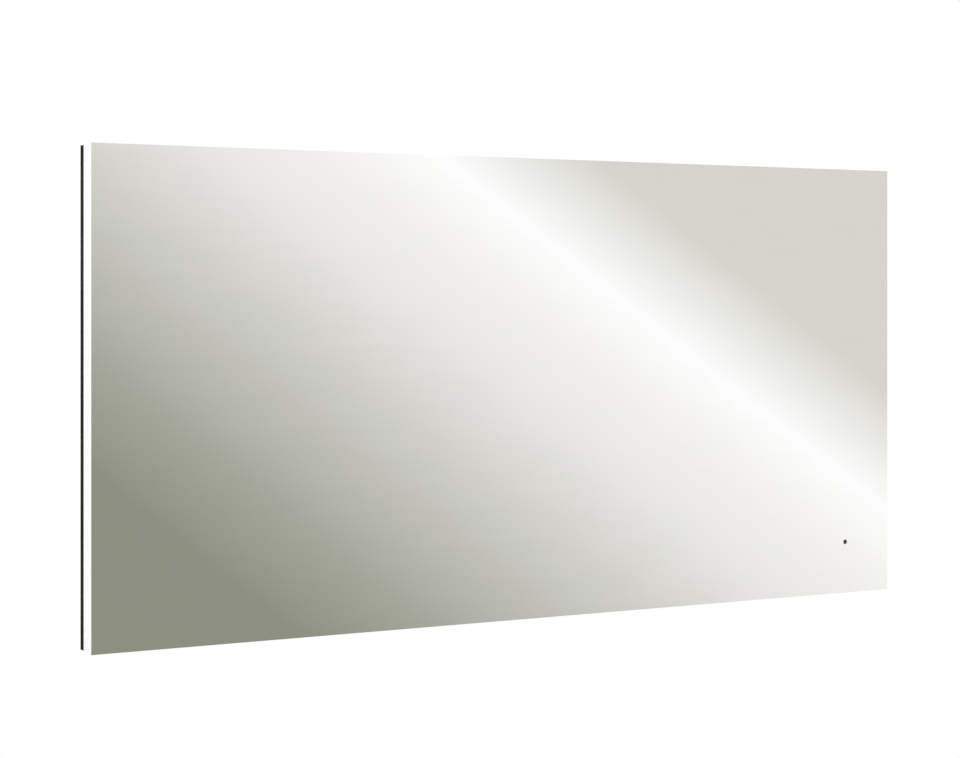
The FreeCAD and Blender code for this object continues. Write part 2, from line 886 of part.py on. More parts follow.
def make_links():
    """A folded flexible link from strip to strip at three corners, and the feed connector at the fourth."""
    links = []
    under = "strip_thick"
    over = "strip_thick + link_thick"
    reach = "0 - strip_end_gap - link_lap"
    for right, upper in ((1, 1), (-1, 1), (-1, -1)):

        def corner(along, up):
            across = f"{right} * (frame_width / 2 - web_outer + ({along}))"
            return (across, f"{upper} * (frame_height / 2 - web_outer + ({up}))")

        link = new_body("LedLink", z="frame_middle")
        outline = [corner(over, over), corner(over, reach), corner(under, reach)]
        outline += [corner(under, under), corner(reach, under), corner(reach, over)]
        edges = ("light_middle - link_width / 2", "light_middle + link_width / 2")
        pad(link, "Fold", "w", [polygon(outline)], *edges)
        links.append(link)
    node(group("LedLinks", links), "led_links")

    web = "frame_bottom + web_outer"
    connector = block(
        "FeedConnector",
        ("feed_place - connector_length / 2", "feed_place + connector_length / 2"),
        ("lead_plane - grommet_flange", "light_middle + strip_width / 2"),
        (f"{web} - connector_height", web),
    )
    node(connector, "led_feed_connector")


# ---------------------------------------------------------------- screws


def screw_master(name, size, length):
    """A pan-head screw with its seat at the origin, its head above it and a cross recess."""
    head, high = f"{size}_head_radius", f"{size}_head_height"
    body = new_body(name)
    low = f"0 - {length}"
    profile = [("0", low), (f"{size}_screw_radius", low), (f"{size}_screw_radius", "0")]
    profile += [(head, "0"), (head, f"{high} / 2"), (f"{head} * 0.75", high), ("0", high)]
    revolve(body, "Turned", profile)
    pocket(body, "Recess", "z", [cross("recess_arm", "recess_half")], f"{high} - recess_depth", high)
    return body


# ---------------------------------------------------------------- crossbars and bumpers


def ear_heights():
    return ["box_middle + ear_offset", "box_middle - ear_offset"]


def make_crossbars():
    low = "frame_bottom + chamber_width + bar_end_gap"
    high = "frame_top - chamber_width - bar_end_gap"
    for side, sign in (("left", "0 - "), ("right", "")):
        bar = new_body(f"Crossbar_{side}", x=f"{sign}bar_place")
        loops = [rectangle("0 - bar_width / 2", "bar_width / 2", low, high)]
        for x in plus_minus("bar_screw_spread"):
            loops += [circle(x, z, "screw_hole") for z in ("top_screw", "bottom_screw")]
        loops += [circle("0", z, "screw_hole") for z in ear_heights()]
        pad(bar, "Flat", "w", loops, "chamber_depth", "bar_front")
        node(bar, f"crossbar_{side}")
    hanger_screw = screw_master("HangerScrew", "large", "hanger_screw_length")
    spots = [(x, "hanger_back", "top_screw") for x in hanger_screw_places()]
    copies("hanger_screws", hanger_screw, spots, TO_WALL)
    bar_screw = screw_master("BarScrew", "large", "bar_screw_length")
    spots = [(x, "flange_back", "bottom_screw") for x in bar_screw_places()]
    copies("crossbar_screws", bar_screw, spots, TO_WALL)
    spots = [(x, "box_rim", z) for x in plus_minus("bar_place") for z in ear_heights()]
    copies("control_box_screws", bar_screw, spots, TO_WALL)


def make_bumpers():
    """Soft buttons that hold the lower flange off the wall."""
    buttons = [
        rod("Bumper", "bumper_radius", "flange_back", x, "0", "bottom_screw", TO_FRONT)
        for x in plus_minus("bumper_place")
    ]
    node(group("Bumpers", buttons), "bumpers")


# ---------------------------------------------------------------- control box


def post_spots():
    return [(x, z) for x in plus_minus("post_offset_x") for z in plus_minus("post_offset_z")]


def standoff_spots():
    return [(x, z) for x in plus_minus("standoff_offset_x") for z in plus_minus("standoff_offset_z")]


def make_tray():
    """An open tray with its floor to the front, drawn about the box's middle."""
    tray = new_body("ControlTray", z="box_middle")
    outside = around("0", "0", "2 * box_half", "box_height")
    shell = pad(tray, "Outside", "w", [outside], "box_rim", "box_front")
    round_corners(tray, shell, "box_corner")
    inside = around("0", "0", "2 * (box_half - box_wall)", "box_height - 2 * box_wall")
    pocket(tray, "Inside", "w", [inside], "box_rim - 1", "box_floor")
    ears = []
    ear_outer = "bar_place + bar_width / 2 - ear_end_gap"
    for sign in ("", "0 - "):
        for height in plus_minus("ear_offset"):
            near, far = f"{sign}(box_half - box_wall / 2)", f"{sign}({ear_outer})"
            ears.append(rectangle(near, far, f"{height} - ear_height / 2", f"{height} + ear_height / 2"))
    pad(tray, "Ears", "w", ears, "box_rim", "chamber_depth")
    posts = [around(x, z, "post_side + box_wall / 2", "post_side + box_wall / 2") for x, z in post_spots()]
    pad(tray, "Posts", "w", posts, "box_rim", "box_front - box_wall / 2")
    standoffs = [circle(x, z, "standoff_radius") for x, z in standoff_spots()]
    pad(tray, "Standoffs", "w", standoffs, "board_front", "box_front - box_wall / 2")
    ear_holes = [
        circle(x, z, "screw_hole")
        for x in plus_minus("bar_place")
        for z in plus_minus("ear_offset")
    ]
    pocket(tray, "EarHoles", "w", ear_holes, "box_rim - 1", "chamber_depth + 1")
    lid_pilots = [circle(x, z, "small_hole") for x, z in post_spots()]
    pocket(tray, "LidPilots", "w", lid_pilots, "box_rim - 1", "lid_back + lid_screw_length + pilot_spare")
    board_pilots = [circle(x, z, "small_hole") for x, z in standoff_spots()]
    tip = "board_back + board_screw_length + pilot_spare"
    pocket(tray, "BoardPilots", "w", board_pilots, "board_front - 1", tip)
    gland = [circle("0 - gland_place", "gland_depth", "gland_thread + thread_gap")]
    pocket(tray, "GlandHole", "z", gland, "0 - box_height / 2 - 1", "0 - box_height / 2 + box_wall + 1")
    leads = [circle("lead_plane", z, "grommet_hole") for z in plus_minus("lead_spacing / 2")]
    pocket(tray, "LeadHoles", "x", leads, "box_half - box_wall - 1", "box_half + 1")
    node(tray, "control_tray")


def make_lid():
    lid = new_body("ControlLid", z="box_middle")
    loops = [around("0", "0", "2 * box_half", "box_height")]
    loops += [circle(x, z, "small_hole") for x, z in post_spots()]
    plate = pad(lid, "Plate", "w", loops, "lid_back", "lid_front")
    round_corners(lid, plate, "box_corner")
    node(lid, "control_lid")

    gasket = new_body("ControlGasket", z="box_middle")
    inner_width = "2 * (box_half - box_wall + gasket_edge)"
    inner_height = "box_height - 2 * (box_wall - gasket_edge)"
    loops = [
        around("0", "0", "2 * (box_half - gasket_edge)", "box_height - 2 * gasket_edge"),
        around("0", "0", inner_width, inner_height),
    ]
    ring = pad(gasket, "Ring", "w", loops, "lid_front", "box_rim")
    round_corners(gasket, ring, "box_corner - gasket_edge")
    node(gasket, "control_gasket")

    lid_screw = screw_master("LidScrew", "small", "lid_screw_length")
    spots = [(x, "lid_back", f"box_middle + {z}") for x, z in post_spots()]
    copies("control_lid_screws", lid_screw, spots, TO_WALL)


def make_gland():
    """A cable gland whose axis points down through the box's lower wall."""
    spot = ("0 - gland_place", "gland_depth")
    wall_face = "box_bottom"
    thread = circle(*spot, "gland_thread")
    bore = circle(*spot, "gland_bore")
    shank_end = f"{wall_face} - gland_flange - gland_stem"

    body = new_body("GlandBody")
    pad(body, "Stem", "z", [thread, bore], shank_end, f"{wall_face} + gland_spigot")
    flange = [hexagon(*spot, "gland_hex"), bore]
    pad(body, "Hex", "z", flange, f"{wall_face} - gland_flange", wall_face)
    node(body, "gland_body")

    nut = new_body("GlandLockNut")
    nut_low = f"{wall_face} + box_wall"
    loops = [hexagon(*spot, "gland_hex"), circle(*spot, "gland_thread + thread_gap")]
    pad(nut, "Nut", "z", loops, nut_low, f"{nut_low} + lock_nut_thick")
    node(nut, "gland_lock_nut")

    cap = new_body("GlandCap")
    cap_top = f"{wall_face} - gland_flange - cap_stem_gap"
    cap_low = f"{cap_top} - cap_length"
    loops = [hexagon(*spot, "2 * (gland_thread + cap_wall)"), circle(*spot, "gland_thread + thread_gap")]
    pad(cap, "Skirt", "z", loops, f"{cap_low} + cap_end", cap_top)
    loops = [circle(*spot, "gland_thread + cap_wall - cap_step"), circle(*spot, "cap_mouth")]
    pad(cap, "End", "z", loops, cap_low, f"{cap_low} + cap_end")
    node(cap, "gland_cap")

    seal = new_body("GlandSeal")
    loops = [circle(*spot, "gland_bore - seal_gap"), circle(*spot, "seal_bore")]
    pad(seal, "Sleeve", "z", loops, f"{cap_low} + cap_end", wall_face)
    node(seal, "gland_seal")


# ---------------------------------------------------------------- driver board


def on_board(name, x, up, width, height, deep):
    """A block that stands on the board's wall side, about a middle."""
    across = (f"{x} - ({width}) / 2", f"{x} + ({width}) / 2")
    heights = (f"{up} - ({height}) / 2", f"{up} + ({height}) / 2")
    return block(name, across, (f"board_back - ({deep})", "board_back"), heights)


def make_board():
    board = new_body("DriverBoard", z="box_middle")
    loops = [around("0", "0", "board_width", "board_height")]
    loops += [circle(x, z, "small_hole") for x, z in standoff_spots()]
    pad(board, "Sheet", "w", loops, "board_back", "board_front")
    node(board, "driver_board")
    board_screw = screw_master("BoardScrew", "small", "board_screw_length")
    spots = [(x, "board_back", f"box_middle + {z}") for x, z in standoff_spots()]
    copies("driver_board_screws", board_screw, spots, TO_WALL)


def make_mains_terminal():
    """Three clamps in a row over the gland, each with a wire entry below and a slotted screw."""
    terminal = new_body("MainsTerminal", x="0 - mains_block_place", z="mains_middle")
    top = "board_back - mains_block_deep"
    low, high = "0 - mains_block_height / 2", "mains_block_height / 2"
    outline = around("0", "0", "mains_block_width", "mains_block_height")
    pad(terminal, "Housing", "w", [outline], top, "board_back")
    poles = ["0 - mains_pitch", "0", "mains_pitch"]
    entry_depth = "board_back - mains_block_deep / 3"
    entries = [circle(x, entry_depth, "mains_entry_radius") for x in poles]
    pocket(terminal, "Entries", "z", entries, f"{low} - 1", f"{low} + mains_block_height / 2")
    wells = [circle(x, "0", "clamp_screw_radius + screw_fit") for x in poles]
    pocket(terminal, "Wells", "w", wells, f"{top} - 1", f"{top} + clamp_screw_length")
    node(terminal, "mains_terminal")

    screw = new_body("ClampScrew")
    length = "0 - clamp_screw_length"
    corners = [("0", length), ("clamp_screw_radius", length), ("clamp_screw_radius", "0"), ("0", "0")]
    revolve(screw, "Stud", corners)
    slot = around("0", "0", "3 * clamp_screw_radius", "2 * clamp_slot")
    pocket(screw, "Slot", "z", [slot], "0 - clamp_screw_length / 4", "0")
    spots = [(f"{x} - mains_block_place", top, "mains_middle") for x in poles]
    copies("mains_terminal_screws", screw, spots, TO_WALL)


def make_components():
    fuse = rod("Fuse", "fuse_radius", "fuse_height", "0 - fuse_place", "board_back - fuse_height",
               "box_middle", TO_FRONT)
    node(fuse, "fuse")

    choke = new_body("FilterChoke", x="0 - choke_place", w="board_back - choke_tube", z="box_middle",
                     rotation=TO_FRONT)
    steps = [("0 - choke_tube", "0 - choke_tube / 2"), ("0 - choke_tube / 2", "0 - choke_tube")]
    steps += [("choke_tube / 2", "0 - choke_tube"), ("choke_tube", "0 - choke_tube / 2")]
    steps += [("choke_tube", "choke_tube / 2"), ("choke_tube / 2", "choke_tube")]
    steps += [("0 - choke_tube / 2", "choke_tube"), ("0 - choke_tube", "choke_tube / 2")]
    revolve(choke, "Ring", [(f"choke_radius + ({out})", up) for out, up in steps])
    node(choke, "filter_choke")

    core = new_body("TransformerCore", z="box_middle")
    outline = around("0", "board_back - core_deep / 2", "core_width", "core_deep")
    half = "core_height / 2"
    windows = []
    for sign in ("", "0 - "):
        near, far = f"{sign}(core_middle_leg)", f"{sign}(core_width / 2 - core_leg)"
        windows.append(rectangle(near, far, "board_back - core_deep + core_leg", "board_back - core_leg"))
    pad(core, "Limbs", "z", [outline] + windows, f"0 - {half}", half)
    node(core, "transformer_core")

    winding = new_body("TransformerWinding", z="box_middle")
    window = "core_width - 2 * core_leg - 2 * winding_gap"
    leg = "2 * (core_middle_leg + winding_gap)"
    loops = [
        around("0", "0", window, "core_height + 2 * winding_overhang"),
        around("0", "0", leg, "core_height + 2 * winding_gap"),
    ]
    edges = ("board_back - core_deep + core_leg + winding_gap", "board_back - core_leg - winding_gap")
    pad(winding, "Coil", "w", loops, *edges)
    node(winding, "transformer_winding")

    cans = [
        rod("Capacitor", "capacitor_radius", "capacitor_height", "capacitor_place",
            "board_back - capacitor_height", f"box_middle + {z}", TO_FRONT)
        for z in ("0 - capacitor_pitch / 2", "capacitor_pitch / 2")
    ]
    node(group("Capacitors", cans), "capacitors")

    sink_face = "box_middle + sink_thick / 2"
    sink = on_board("HeatSink", "sink_place", "box_middle", "sink_width", "sink_thick", "sink_height")
    node(sink, "heat_sink")
    transistor = on_board("PowerTransistor", "sink_place", f"{sink_face} + transistor_thick / 2",
                          "transistor_width", "transistor_thick", "transistor_height")
    node(transistor, "power_transistor")

    terminal = new_body("LowVoltageTerminal", x="low_block_place", z="box_middle")
    outline = around("0", "0", "low_block_width", "low_block_height")
    pad(terminal, "Housing", "w", [outline], "board_back - low_block_deep", "board_back")
    entries = [
        circle("lead_plane", z, "lead_radius + clip_gap")
        for z in plus_minus("lead_spacing / 2")
    ]
    face = "low_block_width / 2"
    pocket(terminal, "Entries", "x", entries, f"{face} - lead_entry", f"{face} + 1")
    node(terminal, "low_voltage_terminal")


# ---------------------------------------------------------------- leads


def lead(name, label, points):
    """A round lead along straight runs joined by arcs that touch both runs, drawn about its first point."""
    places = [FreeCAD.Vector(number(x), -number(w), number(z)) for x, w, z in points]
    spots = [spot - places[0] for spot in places]
    radius, bend = number("lead_radius"), number("lead_bend")
    edges = []
    start = spots[0]
    length = 0.0
    for before, corner, after in zip(spots, spots[1:], spots[2:]):
        come = (corner - before).normalize()
        leave = (after - corner).normalize()
        turn = come.getAngle(leave)
        reach = bend * (come - leave).Length / (come + leave).Length
        entry = corner - come * reach
        exit_point = corner + leave * reach
        inward = (leave - come).normalize()
        middle = corner + inward * ((bend ** 2 + reach ** 2) ** 0.5 - bend)
        edges.append(Part.LineSegment(start, entry).toShape())
        edges.append(Part.Arc(entry, middle, exit_point).toShape())
        length += (entry - start).Length + bend * turn
        start = exit_point
    edges.append(Part.LineSegment(start, spots[-1]).toShape())
    length += (spots[-1] - start).Length
    first_run = (spots[1] - spots[0]).normalize()
    ring = Part.Wire(Part.makeCircle(radius, spots[0], first_run))
    solid = Part.Wire(edges).makePipeShell([ring], True, False)
    expected = Part.makeCylinder(radius, length).Volume
    print(f"{label}: {length:.1f} mm long, volume {solid.Volume / expected:.5f} of section times length")
    item = doc.addObject("Part::Feature", name)
    item.Shape = solid
    item.Placement = FreeCAD.Placement(places[0], FreeCAD.Rotation())
    node(item, label)


def make_leads():
    """Both leads leave the box over the right crossbar, go down it and run along the lower flange."""
    start = "low_block_place + low_block_width / 2 - lead_entry"
    plane = "lead_plane"
    lead("LedLead", "led_lead", [
        (start, plane, "lower_lead"),
        ("inner_lead", plane, "lower_lead"),
        ("inner_lead", plane, "lower_run"),
        ("feed_place", plane, "lower_run"),
        ("feed_place", plane, "frame_bottom + web_outer"),
    ])
    rise_end = "case_left - sensor_level_run"
    lead("SensorLead", "sensor_lead", [
        (start, plane, "upper_lead"),
        ("outer_lead", plane, "upper_lead"),
        ("outer_lead", plane, "upper_run"),
        (f"{rise_end} - sensor_rise_run", plane, "upper_run"),
        (rise_end, "sensor_lead_plane", "sensor_z"),
        ("case_left + case_wall + lead_entry", "sensor_lead_plane", "sensor_z"),
    ])


def make_grommets():
    """Rubber grommets: two in the box's side wall and one in the frame's lower web."""
    items = []
    bore = "lead_radius + clip_gap"
    sleeve = "grommet_hole - clip_gap"
    inner = "box_half - box_wall"
    for z in ("upper_lead", "lower_lead"):
        item = new_body("SideGrommet", z=z)
        spot = ("lead_plane", "0")
        rim = [circle(*spot, "grommet_flange"), circle(*spot, bore)]
        tube = [circle(*spot, sleeve), circle(*spot, bore)]
        pad(item, "InnerRim", "x", rim, f"{inner} - grommet_rim", inner)
        pad(item, "Sleeve", "x", tube, inner, "box_half")
        pad(item, "OuterRim", "x", rim, "box_half", "box_half + grommet_rim")
        items.append(item)
    web = new_body("WebGrommet", x="feed_place")
    spot = ("0", "lead_plane")
    outer, inner = "frame_bottom + web_outer", "frame_bottom + chamber_width"
    rim = [circle(*spot, "grommet_flange"), circle(*spot, bore)]
    pad(web, "Sleeve", "z", [circle(*spot, sleeve), circle(*spot, bore)], outer, inner)
    pad(web, "Rim", "z", rim, inner, f"{inner} + grommet_rim")
    items.append(web)
    node(group("LeadGrommets", items), "lead_grommets")


def make_clips():
    """Saddle blocks that hold both leads, two on the right crossbar and two on the lower flange."""
    clips = []
    top = "lead_plane + lead_radius + clip_cover"
    bore = "lead_radius + clip_gap"
    span = "lead_spacing + 2 * lead_radius + 2 * clip_side"
    for drop in ("bar_clip_upper", "bar_clip_lower"):
        clip = new_body("BarClip", x="bar_place", z=f"box_bottom - {drop}")
        outline = around("0", f"(bar_front + {top}) / 2", span, f"{top} - bar_front")
        holes = [circle(x, "lead_plane", bore) for x in plus_minus("lead_spacing / 2")]
        pad(clip, "Saddle", "z", [outline] + holes, "0 - clip_long / 2", "clip_long / 2")
        clips.append(clip)
    for along in ("flange_clip_first", "flange_clip_second"):
        clip = new_body("FlangeClip", x=f"outer_lead + {along}", z="flange_lead_middle")
        outline = rectangle("chamber_depth", top, f"0 - ({span}) / 2", f"({span}) / 2")
        holes = [circle("lead_plane", z, bore) for z in plus_minus("lead_spacing / 2")]
        pad(clip, "Saddle", "x", [outline] + holes, "0 - clip_long / 2", "clip_long / 2")
        clips.append(clip)
    node(group("LeadClips", clips), "lead_clips")


# ---------------------------------------------------------------- sensor module


def make_sensor():
    spot = {"x": "sensor_x", "z": "sensor_z"}
    inner_width = "case_width - 2 * case_wall"
    inner_height = "case_height - 2 * case_wall"

    case = new_body("SensorCase", **spot)
    outside = [around("0", "0", "case_width", "case_height")]
    shell = pad(case, "Outside", "w", outside, "case_back", "film_back")
    round_corners(case, shell, "case_corner")
    pocket(case, "Inside", "w", [around("0", "0", inner_width, inner_height)], "case_back - 1", "case_floor")
    hole = [circle("0", "0", "lens_radius + lens_case_gap")]
    pocket(case, "Window", "w", hole, "case_floor - 1", "film_back + 1")
    entry = [circle("sensor_lead_plane", "0", "lead_radius + clip_gap")]
    edge = "0 - case_width / 2"
    pocket(case, "LeadEntry", "x", entry, f"{edge} - 1", f"{edge} + case_wall + 1")
    support_x = f"({inner_width}) / 2 - support_side / 2"
    support_z = f"({inner_height}) / 2 - support_side / 2"
    supports = [
        around(x, z, "support_side + case_wall", "support_side + case_wall")
        for x in plus_minus(support_x)
        for z in plus_minus(support_z)
    ]
    pad(case, "Supports", "w", supports, "sensor_board_front", "film_back - case_wall / 2")
    node(case, "sensor_case")

    cover = new_body("SensorCover", **spot)
    lid = around("0", "0", f"{inner_width} - 2 * cover_gap", f"{inner_height} - 2 * cover_gap")
    pad(cover, "Plate", "w", [lid], "case_back", "case_back + cover_thick")
    leg_x = f"{support_x} - cover_gap"
    leg_z = f"{support_z} - cover_gap"
    legs = [
        around(x, z, "support_side", "support_side")
        for x in plus_minus(leg_x)
        for z in plus_minus(leg_z)
    ]
    pad(cover, "Legs", "w", legs, "case_back + cover_thick / 2", "sensor_board_back")
    node(cover, "sensor_cover")

    board = new_body("SensorBoard", **spot)
    sheet_outline = around(
        "0", "0", f"{inner_width} - 2 * sensor_board_gap", f"{inner_height} - 2 * sensor_board_gap"
    )
    pad(board, "Sheet", "w", [sheet_outline], "sensor_board_back", "sensor_board_front")
    near = "0 - case_width / 2 + case_wall + lead_entry"
    plug = rectangle(near, f"{near} + plug_width", "0 - plug_height / 2", "plug_height / 2")
    pad(board, "Plug", "w", [plug], "plug_back", "sensor_board_back + sensor_board_thick / 2")
    node(board, "sensor_board")

    eyes = []
    for x in plus_minus("eye_place"):
        eye = new_body("Eye", x=f"sensor_x + {x}", w="sensor_board_front", z="sensor_z",
                       rotation=TO_FRONT)
        barrel = "eye_length - eye_radius / 2"
        dome = "eye_length - eye_radius * 0.1"
        profile = [("0", "0"), ("eye_radius", "0"), ("eye_radius", barrel)]
        profile += [("eye_radius * 0.7", dome), ("0", dome)]
        revolve(eye, "Barrel", profile)
        eyes.append(eye)
    node(group("SensorEyes", eyes), "sensor_eyes")

    lens = new_body("SensorLens", x="sensor_x", w="lens_base", z="sensor_z", rotation=TO_FRONT)
    tip = "glass_front - lens_recess - (lens_base)"
    profile = [("0", "0"), ("lens_flange", "0"), ("lens_flange", "lens_flange_thick")]
    profile += [("lens_radius", "lens_flange_thick"), ("lens_radius", tip), ("0", tip)]
    revolve(lens, "Rod", profile)
    node(lens, "sensor_lens")


# ---------------------------------------------------------------- build and write


def main():
    make_wall_rail()
    make_hanger_rail()
    for side in SIDES:
        make_frame(side)
        make_diffuser(side)
        make_light(side)
    make_corner_keys()
    make_pane()
    make_links()
    make_crossbars()
    make_bumpers()
    make_tray()
    make_lid()
    make_gland()
    make_board()
    make_mains_terminal()
    make_components()
    make_leads()
    make_grommets()
    make_clips()
    make_sensor()
    doc.recompute()
    check_and_write()


def check_and_write():
    for item in doc.Objects:
        faults = {"Invalid", "Error"} & set(item.State)
        if faults:
            raise RuntimeError(f"{item.Label}: {faults}")
        if item.TypeId == "PartDesign::Pocket":
            left, before = item.Shape.Volume, item.BaseFeature.Shape.Volume
            if left >= before:
                raise RuntimeError(f"{item.Label} cuts nothing")
    for item in nodes:
        if item.Shape.isNull() or not item.Shape.isValid():
            raise RuntimeError(f"{item.Label} has no valid shape")
    os.makedirs("parts", exist_ok=True)
    for item in nodes:
        item.Shape.exportStep(f"parts/{item.Label}.step")
    print(f"{len(nodes)} sub-parts written")


main()
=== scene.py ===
# %% [markdown]
# # A lighted bathroom mirror
# This lesson dresses a mirror that hangs on a rail: a pane of silvered glass, a lit opal band round its rim
# and a shallow black frame behind it. The solids come ready made, in metres, with the wall at Y = 0 and the
# mirror in front of it at negative Y. The lesson adds what solids alone don't have: finishes, light, and
# small turned or moulded pieces that are rounder than the solids they stand for.

# %% Load the solids
import json
import math

import bmesh
import bpy
import numpy as np
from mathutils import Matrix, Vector


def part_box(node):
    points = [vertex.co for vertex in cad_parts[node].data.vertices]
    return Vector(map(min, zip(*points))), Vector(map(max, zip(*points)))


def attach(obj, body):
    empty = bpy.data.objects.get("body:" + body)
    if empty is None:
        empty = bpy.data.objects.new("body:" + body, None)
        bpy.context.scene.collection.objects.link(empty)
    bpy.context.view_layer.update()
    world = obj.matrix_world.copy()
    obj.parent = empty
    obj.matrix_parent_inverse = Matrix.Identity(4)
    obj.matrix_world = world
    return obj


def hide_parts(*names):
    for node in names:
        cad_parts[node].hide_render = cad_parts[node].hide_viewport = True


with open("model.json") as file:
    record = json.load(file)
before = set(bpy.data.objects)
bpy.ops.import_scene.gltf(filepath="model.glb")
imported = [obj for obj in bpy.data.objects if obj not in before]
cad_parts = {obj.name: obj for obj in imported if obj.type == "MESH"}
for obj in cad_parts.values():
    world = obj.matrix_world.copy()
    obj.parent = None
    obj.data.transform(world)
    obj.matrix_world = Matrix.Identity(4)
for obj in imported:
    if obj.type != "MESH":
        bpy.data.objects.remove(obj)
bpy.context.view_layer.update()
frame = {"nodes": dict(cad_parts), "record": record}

scene = bpy.context.scene
scene.view_settings.view_transform = "Standard"

# %% [markdown]
# ## The camera
# A mirror is all straight lines, so the camera stays level and looks down only through its lens shift. That
# keeps the upright edges upright, as a photographer of furniture does with a shift lens. The focal length,
# the place and the turn of 30 degrees follow from where the pane's four corners fall in the picture.

# %% Place the camera
VIEW_TURN = math.radians(30)
FOCAL_LENGTH = 84.5
LENS_SHIFT = -0.0848
CAMERA_PLACE = (-1.523, -2.548, -0.1192)

lens = bpy.data.cameras.new("level_camera")
lens.sensor_width = 36.0
lens.lens = FOCAL_LENGTH
lens.shift_y = LENS_SHIFT
camera = bpy.data.objects.new("level_camera", lens)
camera.location = CAMERA_PLACE
camera.rotation_euler = (math.radians(90), 0, -VIEW_TURN)
scene.collection.objects.link(camera)
scene.camera = camera
print("camera at", tuple(camera.location))

# %% [markdown]
# ## Small tools for shader nodes
# Every finish below is a graph of nodes. Placing nodes one by one takes many lines, so four short functions
# do it: one adds any node, and the others add the sums, mixes and ranges that finishes need most.

# %% Tools for nodes


def screen(red, green, blue):
    """Linear colour of a screen colour v: v / 12.92 up to 0.04045, and above it
    ((v + 0.055) / 1.055) to the power 2.4."""
    value = np.array([red, green, blue]) / 255
    linear = np.where(value <= 0.04045, value / 12.92, ((value + 0.055) / 1.055) ** 2.4)
    return (*linear.tolist(), 1.0)


def add_node(tree, kind, inputs=(), **options):
    """Add a node, set its options, and give each input a plain value or another node's output."""
    made = tree.nodes.new(kind)
    for option, choice in options.items():
        setattr(made, option, choice)
    fill_inputs(tree, made, inputs)
    return made


def fill_inputs(tree, made, inputs):
    for key, value in dict(inputs).items():
        if isinstance(value, bpy.types.NodeSocket):
            tree.links.new(value, made.inputs[key])
        else:
            made.inputs[key].default_value = value


def calculate(tree, operation, *values):
    return add_node(tree, "ShaderNodeMath", enumerate(values), operation=operation).outputs[0]


def dot(tree, first, second):
    made = add_node(tree, "ShaderNodeVectorMath", {0: first, 1: second}, operation="DOT_PRODUCT")
    return made.outputs["Value"]


def blend(tree, share, first, second):
    """Mix two colours: the first at share 0, the second at share 1."""
    made = add_node(tree, "ShaderNodeMix", {0: share, 6: first, 7: second}, data_type="RGBA")
    return made.outputs[2]


def weigh(tree, share, first, second):
    """Mix two numbers: the first at share 0, the second at share 1."""
    return add_node(tree, "ShaderNodeMix", {0: share, 2: first, 3: second}, data_type="FLOAT").outputs[0]


def remap(tree, value, low, high, to_low, to_high):
    """Carry low..high smoothly to to_low..to_high, and hold the ends."""
    inputs = {"Value": value, "From Min": low, "From Max": high, "To Min": to_low, "To Max": to_high}
    return add_node(tree, "ShaderNodeMapRange", inputs, interpolation_type="SMOOTHSTEP").outputs["Result"]


# %% [markdown]
# ## A studio for a mirror
# A mirror has no look of its own: it shows the room. Photographers put one large card in front of it, lit so
# that it runs from a dull olive grey through white to a warm grey, and that card is the diagonal sweep of
# tone on the pane. A card could be a lit plane, but from another side it would end in a hard edge. So the
# sky carries it: the sweep depends on the direction alone, goes all round, and every side view gets one.
# Directions well below the horizon are a shade dimmer, so that the pane's lower edge stands out from the
# pale floor when the mirror is seen from above. The camera sees plain white, and matt surfaces get an even
# soft light.
#
# The tone follows the angle of a direction about an axis that leans across the picture. With F the way the
# view leaves the mirror and L the slope of the sweep, the angle is atan2(d . L, d . F).

# %% Sky with a diagonal sweep
OLIVE_GREY = screen(143, 145, 131)
OLIVE_TONE = screen(166, 167, 156)
HALF_TONE = screen(212, 210, 206)
PALE_TONE = screen(232, 230, 227)
NEAR_WHITE = screen(247, 245, 243)
FULL_WHITE = screen(255, 255, 255)
WARM_GREY = screen(216, 213, 206)
SWEEP_SLOPE = 0.79
SWEEP_PERIOD = math.tau / 9
SWEEP_START = 0.30
GROUND_SHADE = (0.74, 0.74, 0.73, 1.0)
SHADE_FULL, SHADE_START = -0.50, -0.20
SOFT_LIGHT = (0.80, 0.80, 0.80, 1.0)

world = bpy.data.worlds.new("studio")
scene.world = world
world.use_nodes = True
tree = world.node_tree
leaving = (math.sin(VIEW_TURN), -math.cos(VIEW_TURN), 0.0)
sweep_way = (SWEEP_SLOPE * math.cos(VIEW_TURN), SWEEP_SLOPE * math.sin(VIEW_TURN), 1.0)
direction = add_node(tree, "ShaderNodeTexCoord").outputs["Generated"]
angle = calculate(tree, "ARCTAN2", dot(tree, direction, sweep_way), dot(tree, direction, leaving))
turns = calculate(tree, "MULTIPLY_ADD", angle, 1 / SWEEP_PERIOD, SWEEP_START / SWEEP_PERIOD)
sweep = add_node(tree, "ShaderNodeValToRGB", {"Fac": calculate(tree, "FRACT", turns)})
stops = [(0.128, OLIVE_GREY), (0.195, OLIVE_TONE), (0.321, HALF_TONE), (0.382, PALE_TONE),
         (0.461, NEAR_WHITE), (0.499, FULL_WHITE), (0.575, WARM_GREY), (0.715, WARM_GREY),
         (0.880, OLIVE_GREY)]
ramp = sweep.color_ramp.elements
ramp.remove(ramp[0])
ramp[0].position, ramp[0].color = stops[0]
for position, colour in stops[1:]:
    ramp.new(position).color = colour
upward = add_node(tree, "ShaderNodeSeparateXYZ", {0: direction}).outputs["Z"]
shade = blend(tree, remap(tree, upward, SHADE_FULL, SHADE_START, 0.0, 1.0), GROUND_SHADE, FULL_WHITE)
shaded = add_node(tree, "ShaderNodeMix", {0: 1.0, 6: sweep.outputs["Color"], 7: shade}, data_type="RGBA",
                  blend_type="MULTIPLY").outputs[2]
path = add_node(tree, "ShaderNodeLightPath").outputs
backdrop = calculate(tree, "MAXIMUM", path["Is Camera Ray"], path["Is Transmission Ray"])
seen = blend(tree, path["Is Glossy Ray"], SOFT_LIGHT, shaded)
seen = blend(tree, backdrop, seen, FULL_WHITE)
